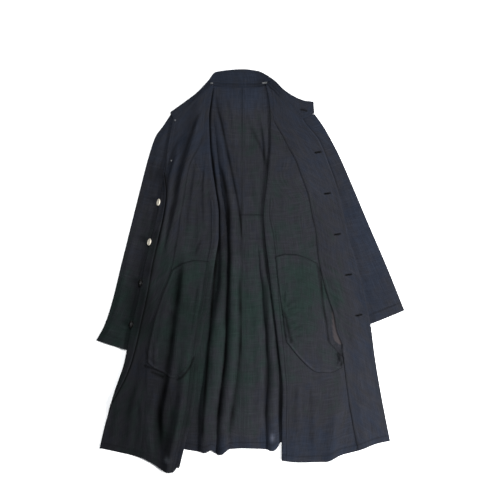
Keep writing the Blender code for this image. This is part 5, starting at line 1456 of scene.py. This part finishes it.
# ---- stitching
for half in (LEFT, RIGHT):
    n, d = half.name, half.d
    back, front = backs[n], fronts[n]
    top = up_from(back)
    sew = Sewing()
    seen = d * (half.roll(-505.0) + d * 2 - back["grid"][-12, :, 0]) > 0
    sew.line(*level_line(top, back["normal"], back["hem"], HEM_BAND - 2.2, seen))
    column_at = lambda x: int(np.argmin(np.abs(back["grid"][40, :, 0] - x)))
    for off in ((1.6, 6.9) if n == "right" else (2.2,)):
        j = column_at(CENTRE_BACK_X + d * off)
        rows = slice(3, -1)
        sew.line(top[rows, j], back["normal"][rows, j])
    for line, x0, x1, rise in YOKE_LINES:
        i = int(np.argmin(np.abs(back["grid"][:, 5, 1] - line - 2.4)))
        shown = (back["grid"][i, :, 0] > x0) & (back["grid"][i, :, 0] < x1) & (d * (half.roll(line) - back["grid"][i, :, 0]) > 4)
        if shown.sum() > 3:
            sew.line(top[i, shown], back["normal"][i, shown])
    sewn["back_" + n] = sew

    top = up_from(front)
    sew = Sewing()
    shown = (front["u"] >= CREST + 0.3) & (front["u"] <= FACING + 0.05)
    sew.line(*level_line(top, front["normal"], front["hem"], HEM_BAND - 2.2, shown))
    for off in (1.8, FELL - 1.6):
        rows = np.where((front["grid"][:, -1, 1] < UNDERARM_Y - 110) & (front["hem"][:, -1] > 24))[0]
        points, normals = [], []
        for i in rows:
            q = d * (front["grid"][i, :, 0] - half.roll(front["grid"][i, :, 1])) - half.seam(front["grid"][i, :, 1]) - off
            use = (front["u"] >= CREST - 0.01) & (front["u"] <= FACING)
            points.append([np.interp(0, q[use], top[i, use, k]) for k in range(3)])
            normals.append([np.interp(0, q[use], front["normal"][i, use, k]) for k in range(3)])
        sew.line(points, normals)
    sewn["front_" + n] = sew

    facing = panels["facing_" + n]
    top = up_from(facing)
    sew = Sewing()
    j = int(np.argmin(np.abs(facing["near"] - 3.6)))
    rows = np.where(facing["grid"][:, j, 1] < (395.0 if n == "left" else 435.0))[0][:-3]
    sew.line(top[rows, j], facing["normal"][rows, j])
    flat = facing["near"] < (facing["near"][-1] - (52 if n == "left" else 6))
    height = facing["grid"][:, :, 1] - facing["grid"][-1, :, 1][None, :]
    sew.line(*level_line(top, facing["normal"], height, HEM_BAND - 6.0, flat))
    if n == "right":
        j = int(np.argmin(np.abs(facing["near"] - facing["near"][-1] + 5.0)))
        sew.line(top[4:-3, j], facing["normal"][4:-3, j])
    sewn["facing_" + n] = sew

    pocket = panels["pocket_bag_" + n]
    top = up_from(pocket)
    sew = Sewing()
    ring = []
    r, c = pocket["grid"].shape[:2]
    ring += [(2, j) for j in range(3, c - 3)] + [(i, c - 3) for i in range(2, r - 3)]
    ring += [(r - 4, j) for j in range(c - 3, 2, -1)] + [(i, 3) for i in range(r - 4, 2, -1)]
    sew.line([top[i, j] for i, j in ring], [pocket["normal"][i, j] for i, j in ring])
    sewn["pocket_bag_" + n] = sew

    sleeve = panels["sleeve_" + n]
    first = 13 + 8
    part = sleeve["grid"][:, first:-1]
    normal = np.cross(np.gradient(part, axis=1), np.gradient(part, axis=0))
    normal *= np.sign(normal[:, :, 2:3])
    normal /= np.linalg.norm(normal, axis=2)[:, :, None]
    height = part[:, :, 1] - part[-1, :, 1][None, :]
    sew = Sewing()
    shown = d * (part[-20, :, 0] - half.edge(part[-20, :, 1])) > 4
    sew.line(*level_line(part + normal * WALL / 2, normal, height, CUFF_BAND - 2.2, shown))
    sewn["sleeve_" + n] = sew

collar = panels["collar"]
top = up_from(collar, 1.8)
sew = Sewing()
for j in (2, 5, 13):
    sew.line(top[4:-2, j], collar["normal"][4:-2, j])
sewn["collar"] = sew

# buttonhole edges, worked close over the cut
holes = {"collar": Sewing(), "facing_right": Sewing()}
for i, (x, y, angle) in enumerate(BUTTONHOLES):
    data = panels["collar"] if i == 0 else panels["facing_right"]
    wall = 1.8 if i == 0 else WALL
    flat = data["grid"][:, :, :2]
    a = math.radians(angle)
    along, side = np.array([math.cos(a), math.sin(a), 0]), np.array([-math.sin(a), math.cos(a), 0])

    def worked(at, run):
        near = np.argsort(np.hypot(flat[:, :, 0] - at[0], flat[:, :, 1] - at[1]).ravel())[:4]
        p = data["grid"].reshape(-1, 3)[near].mean(0)
        n = data["normal"].reshape(-1, 3)[near].mean(0)
        n = n / np.linalg.norm(n)
        z = p[2] - (n[0] * (at[0] - p[0]) + n[1] * (at[1] - p[1])) / n[2]
        run = run - n * (run @ n)
        holes["collar" if i == 0 else "facing_right"].bar(np.array([at[0], at[1], z]) + n * wall / 2, run, n, 1.5, 0.85, 0.5)

    centre = np.array([x, y, 0.0])
    for k in np.linspace(-9.0, 9.0, 26):
        for edge in (-1, 1):
            worked(centre + along * k + side * edge * 1.9, side)
    for k in (-9.8, 9.8):
        for off in (-1.2, -0.4, 0.4, 1.2):
            worked(centre + along * k + side * off, along)

sewn_pieces = {}
for name, sew in sewn.items():
    sewn_pieces[name] = [sew.make(name + "_stitches", THREAD)]
for name, sew in holes.items():
    sewn_pieces[name].append(sew.make(name + "_buttonholes", THREAD_BLACK))


# ---- buttons
def button(name, matrix, mat):
    """Four-hole button turned about Z."""
    r, t = BUTTON_D / 2, BUTTON_WALL
    profile = ((0, -t / 2), (r - 1.6, -t / 2), (r - 0.7, -t / 2 + 0.35), (r - 0.15, -t / 2 + 0.95), (r, -t / 2 + 1.5),
               (r - 0.1, t / 2 - 0.7), (r - 0.4, t / 2 - 0.22), (r - 0.9, t / 2), (r - BUTTON_RIM, t / 2),
               (r - BUTTON_RIM - 0.5, t / 2 - 0.2), (r - BUTTON_RIM - 1.2, t / 2 - BUTTON_DISH), (0, t / 2 - BUTTON_DISH))
    bm = bmesh.new()
    verts = [bm.verts.new((p[0] / 1000.0, 0, p[1] / 1000.0)) for p in profile]
    edges = [bm.edges.new((a, b)) for a, b in zip(verts, verts[1:])]
    bmesh.ops.spin(bm, geom=verts + edges, cent=(0, 0, 0), axis=(0, 0, 1), angle=2 * math.pi, steps=56)
    bmesh.ops.remove_doubles(bm, verts=bm.verts, dist=0.00002)
    bmesh.ops.dissolve_degenerate(bm, edges=bm.edges, dist=0.00001)
    bmesh.ops.recalc_face_normals(bm, faces=bm.faces)
    mesh = bpy.data.meshes.new(name)
    bm.to_mesh(mesh)
    bm.free()
    mesh.materials.append(mat)
    obj = link(name, mesh)
    holes = bmesh.new()
    off = BUTTON_HOLE_PITCH / 2 * 1.2 / 1000.0
    for i in range(4):
        a = math.pi / 4 + i * math.pi / 2
        bmesh.ops.create_cone(holes, cap_ends=True, segments=20, radius1=BUTTON_HOLE_D / 2000.0, radius2=BUTTON_HOLE_D / 2000.0,
                              depth=0.02, matrix=Matrix.Translation((off * math.cos(a), off * math.sin(a), 0)))
    mesh = bpy.data.meshes.new(name + "_holes")
    holes.to_mesh(mesh)
    holes.free()
    tool = link(name + "_holes", mesh)
    mod = obj.modifiers.new("holes", "BOOLEAN")
    mod.operation = "DIFFERENCE"
    mod.solver = "EXACT"
    mod.object = tool
    settle(obj, 35.0)
    bpy.data.objects.remove(tool, do_unlink=True)
    bpy.data.meshes.remove(mesh)
    obj.data.transform(matrix)
    obj.data.update()
    return obj


buttons = {}
ties = {"dark": Sewing(), "pale": Sewing(), "cream": Sewing()}
for i, (y, x_in, tilt) in enumerate(BUTTONS):
    angle, radius, strip, start = (float(v) for v in LEFT.turn_start(float(y)))
    if tilt == 0:
        x = float(LEFT.edge(float(y))) + x_in
        below = float(LEFT.top(x, float(y))) - CLOTH / 2
        at = Vector((x, y, (FLOOR_MID + 2 * UNDER_R + CLOTH / 2 + below) / 2))
        face = Vector((0, 0, -1))
        along_edge = Vector((0, 1, 0))
    else:
        t = math.radians(tilt)
        z_fold = float(LEFT.top(start, float(y))) + radius
        reach = radius + CLOTH / 2 + BUTTON_SHANK + BUTTON_WALL / 2
        lean = float(LEFT.turn_start(y + 10.0)[3] - LEFT.turn_start(y - 10.0)[3]) / 20.0
        along_edge = Vector((lean, 1, 0)).normalized()
        outward = Vector((-1, lean, 0)).normalized()
        face = outward * math.sin(t) - Vector((0, 0, 1)) * math.cos(t)
        at = Vector((start, y, z_fold)) + face * reach
    side = along_edge.cross(face)
    turn = Matrix((side, along_edge, face)).transposed().to_4x4()
    turn.translation = at / 1000.0
    name = "button_%d" % (i + 1)
    # buttons 3 and 4 are painted pale, a painted reflection on dark buttons
    buttons[name] = button(name + "_shell", turn, SHELL_PAINTED_REFLECTION if i in (2, 3) else SHELL_DARK)
    if tilt:
        f, s_, a_ = (np.array(v) for v in (face, side, along_edge))
        hole = BUTTON_HOLE_PITCH / 2 * 1.2 / math.sqrt(2)
        for k in (-1, 1):
            ties["cream" if i in (2, 3) else "pale"].bar(
                np.array(at) + f * (BUTTON_WALL / 2 - BUTTON_DISH) + a_ * k * hole, s_, f, 2 * hole + 1.6, 1.2, 0.8)
        for k in range(4):
            b = math.pi / 4 + k * math.pi / 2
            off = (s_ * math.cos(b) + a_ * math.sin(b)) * 1.4
            ties["dark"].bar(np.array(at) - f * (BUTTON_WALL / 2 + BUTTON_SHANK / 2) + off * 0.7, f, s_, BUTTON_SHANK + 0.6, 1.1, 0.5)
# ends of the two upper buttons' thread, on the inside of the left front
facing = panels["facing_left"]
for x, y in ((-216.3, 435.0), (-226.5, 316.4)):
    near = int(np.argmin(np.hypot(facing["grid"][:, :, 0] - x, facing["grid"][:, :, 1] - y)))
    p = facing["grid"].reshape(-1, 3)[near] + facing["normal"].reshape(-1, 3)[near] * WALL / 2
    n = facing["normal"].reshape(-1, 3)[near]
    for k in (-0.9, 0.0, 0.9):
        ties["pale"].bar(p + np.array([1.2 * k, 0, 0]), np.array([0.3 * k, 1.0, 0]), n, 5.0, 1.2, 0.9)
    ties["pale"].bar(p + n * 0.4, np.array([1.0, 0.3, 0]), n, 4.6, 1.2, 0.9)
# bar tacks where the collar meets the two rolls
for x, y, wide in ((-111.0, 541.0, 8.0), (43.0, 543.5, 16.0)):
    near = int(np.argmin(np.hypot(collar["grid"][:, :, 0] - x, collar["grid"][:, :, 1] - y) - 0.5 * collar["grid"][:, :, 2]))
    n = collar["normal"].reshape(-1, 3)[near]
    p = collar["grid"].reshape(-1, 3)[near] + n * 0.9
    for k in (-1.8, -0.6, 0.6, 1.8):
        ties["pale"].bar(p + np.array([0, k, 0]), np.array([1.0, 0.06 * k, 0]), n, wide, 1.3, 0.9)
tie_pieces = {"dark": ties["dark"].make("button_thread", THREAD), "pale": ties["pale"].make("button_thread_ends", THREAD_PALE),
              "cream": ties["cream"].make("button_thread_faces", THREAD_CREAM)}

# ------------------------------------------------------------------ the frame
for name, obj in pieces.items():
    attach(obj, "root")
    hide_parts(name)
for obj in sum(sewn_pieces.values(), []) + list(tie_pieces.values()):
    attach(obj, "root")
for name, obj in buttons.items():
    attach(obj, "root")
    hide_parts(name)
for name, obj in pieces.items():
    kind = name.split("_")[0]
    side = name.split("_")[-1]

# ------------------------------------------------------------------ stage
bm = bmesh.new()
bmesh.ops.create_grid(bm, x_segments=8, y_segments=8, size=20.0)
mesh = bpy.data.meshes.new("floor")
bm.to_mesh(mesh)
bm.free()
floor_mat = bpy.data.materials.new("floor_white")
floor_mat.use_nodes = True
shader = floor_mat.node_tree.nodes["Principled BSDF"]
shader.inputs["Base Color"].default_value = (0.95, 0.95, 0.95, 1.0)
shader.inputs["Roughness"].default_value = 0.9
shader.inputs["Specular IOR Level"].default_value = 0.1
shader.inputs["Emission Color"].default_value = (1.0, 1.0, 1.0, 1.0)
shader.inputs["Emission Strength"].default_value = 0.15
mesh.materials.append(floor_mat)
floor = link("floor", mesh)
floor.location.z = -0.0003


def area_light(name, at, aim, size, power, colour):
    lamp = bpy.data.lights.new(name, "AREA")
    lamp.shape = "DISK"
    lamp.size = size
    lamp.energy = power
    lamp.color = colour
    obj = bpy.data.objects.new(name, lamp)
    bpy.context.scene.collection.objects.link(obj)
    obj.location = at
    obj.rotation_mode = "QUATERNION"
    obj.rotation_quaternion = (Vector(aim) - Vector(at)).to_track_quat("-Z", "Y")
    return obj


area_light("key", (1.15, -0.60, 1.0), (0.0, -0.1, 0.0), 0.8, 49.0, (1.0, 1.0, 1.0))
area_light("overhead", (0.1, 0.75, 2.2), (0.0, 0.2, 0.0), 0.9, 57.0, (0.98, 0.99, 1.0))
world = bpy.data.worlds.new("studio")
world.use_nodes = True
world.node_tree.nodes["Background"].inputs["Color"].default_value = (0.78, 0.89, 1.0, 1.0)
world.node_tree.nodes["Background"].inputs["Strength"].default_value = 0.11
bpy.context.scene.world = world
bpy.context.scene.view_settings.view_transform = "Standard"

camera = bpy.data.cameras.new("camera")
camera.lens = 70.0
camera.sensor_width = 36.0
SPAN = 1.45                                   # floor across the picture
eye = bpy.data.objects.new("camera", camera)
bpy.context.scene.collection.objects.link(eye)
eye.location = (0.0, 0.0595, SPAN / 2 * camera.lens / (camera.sensor_width / 2) + 0.003)
bpy.context.scene.camera = eye
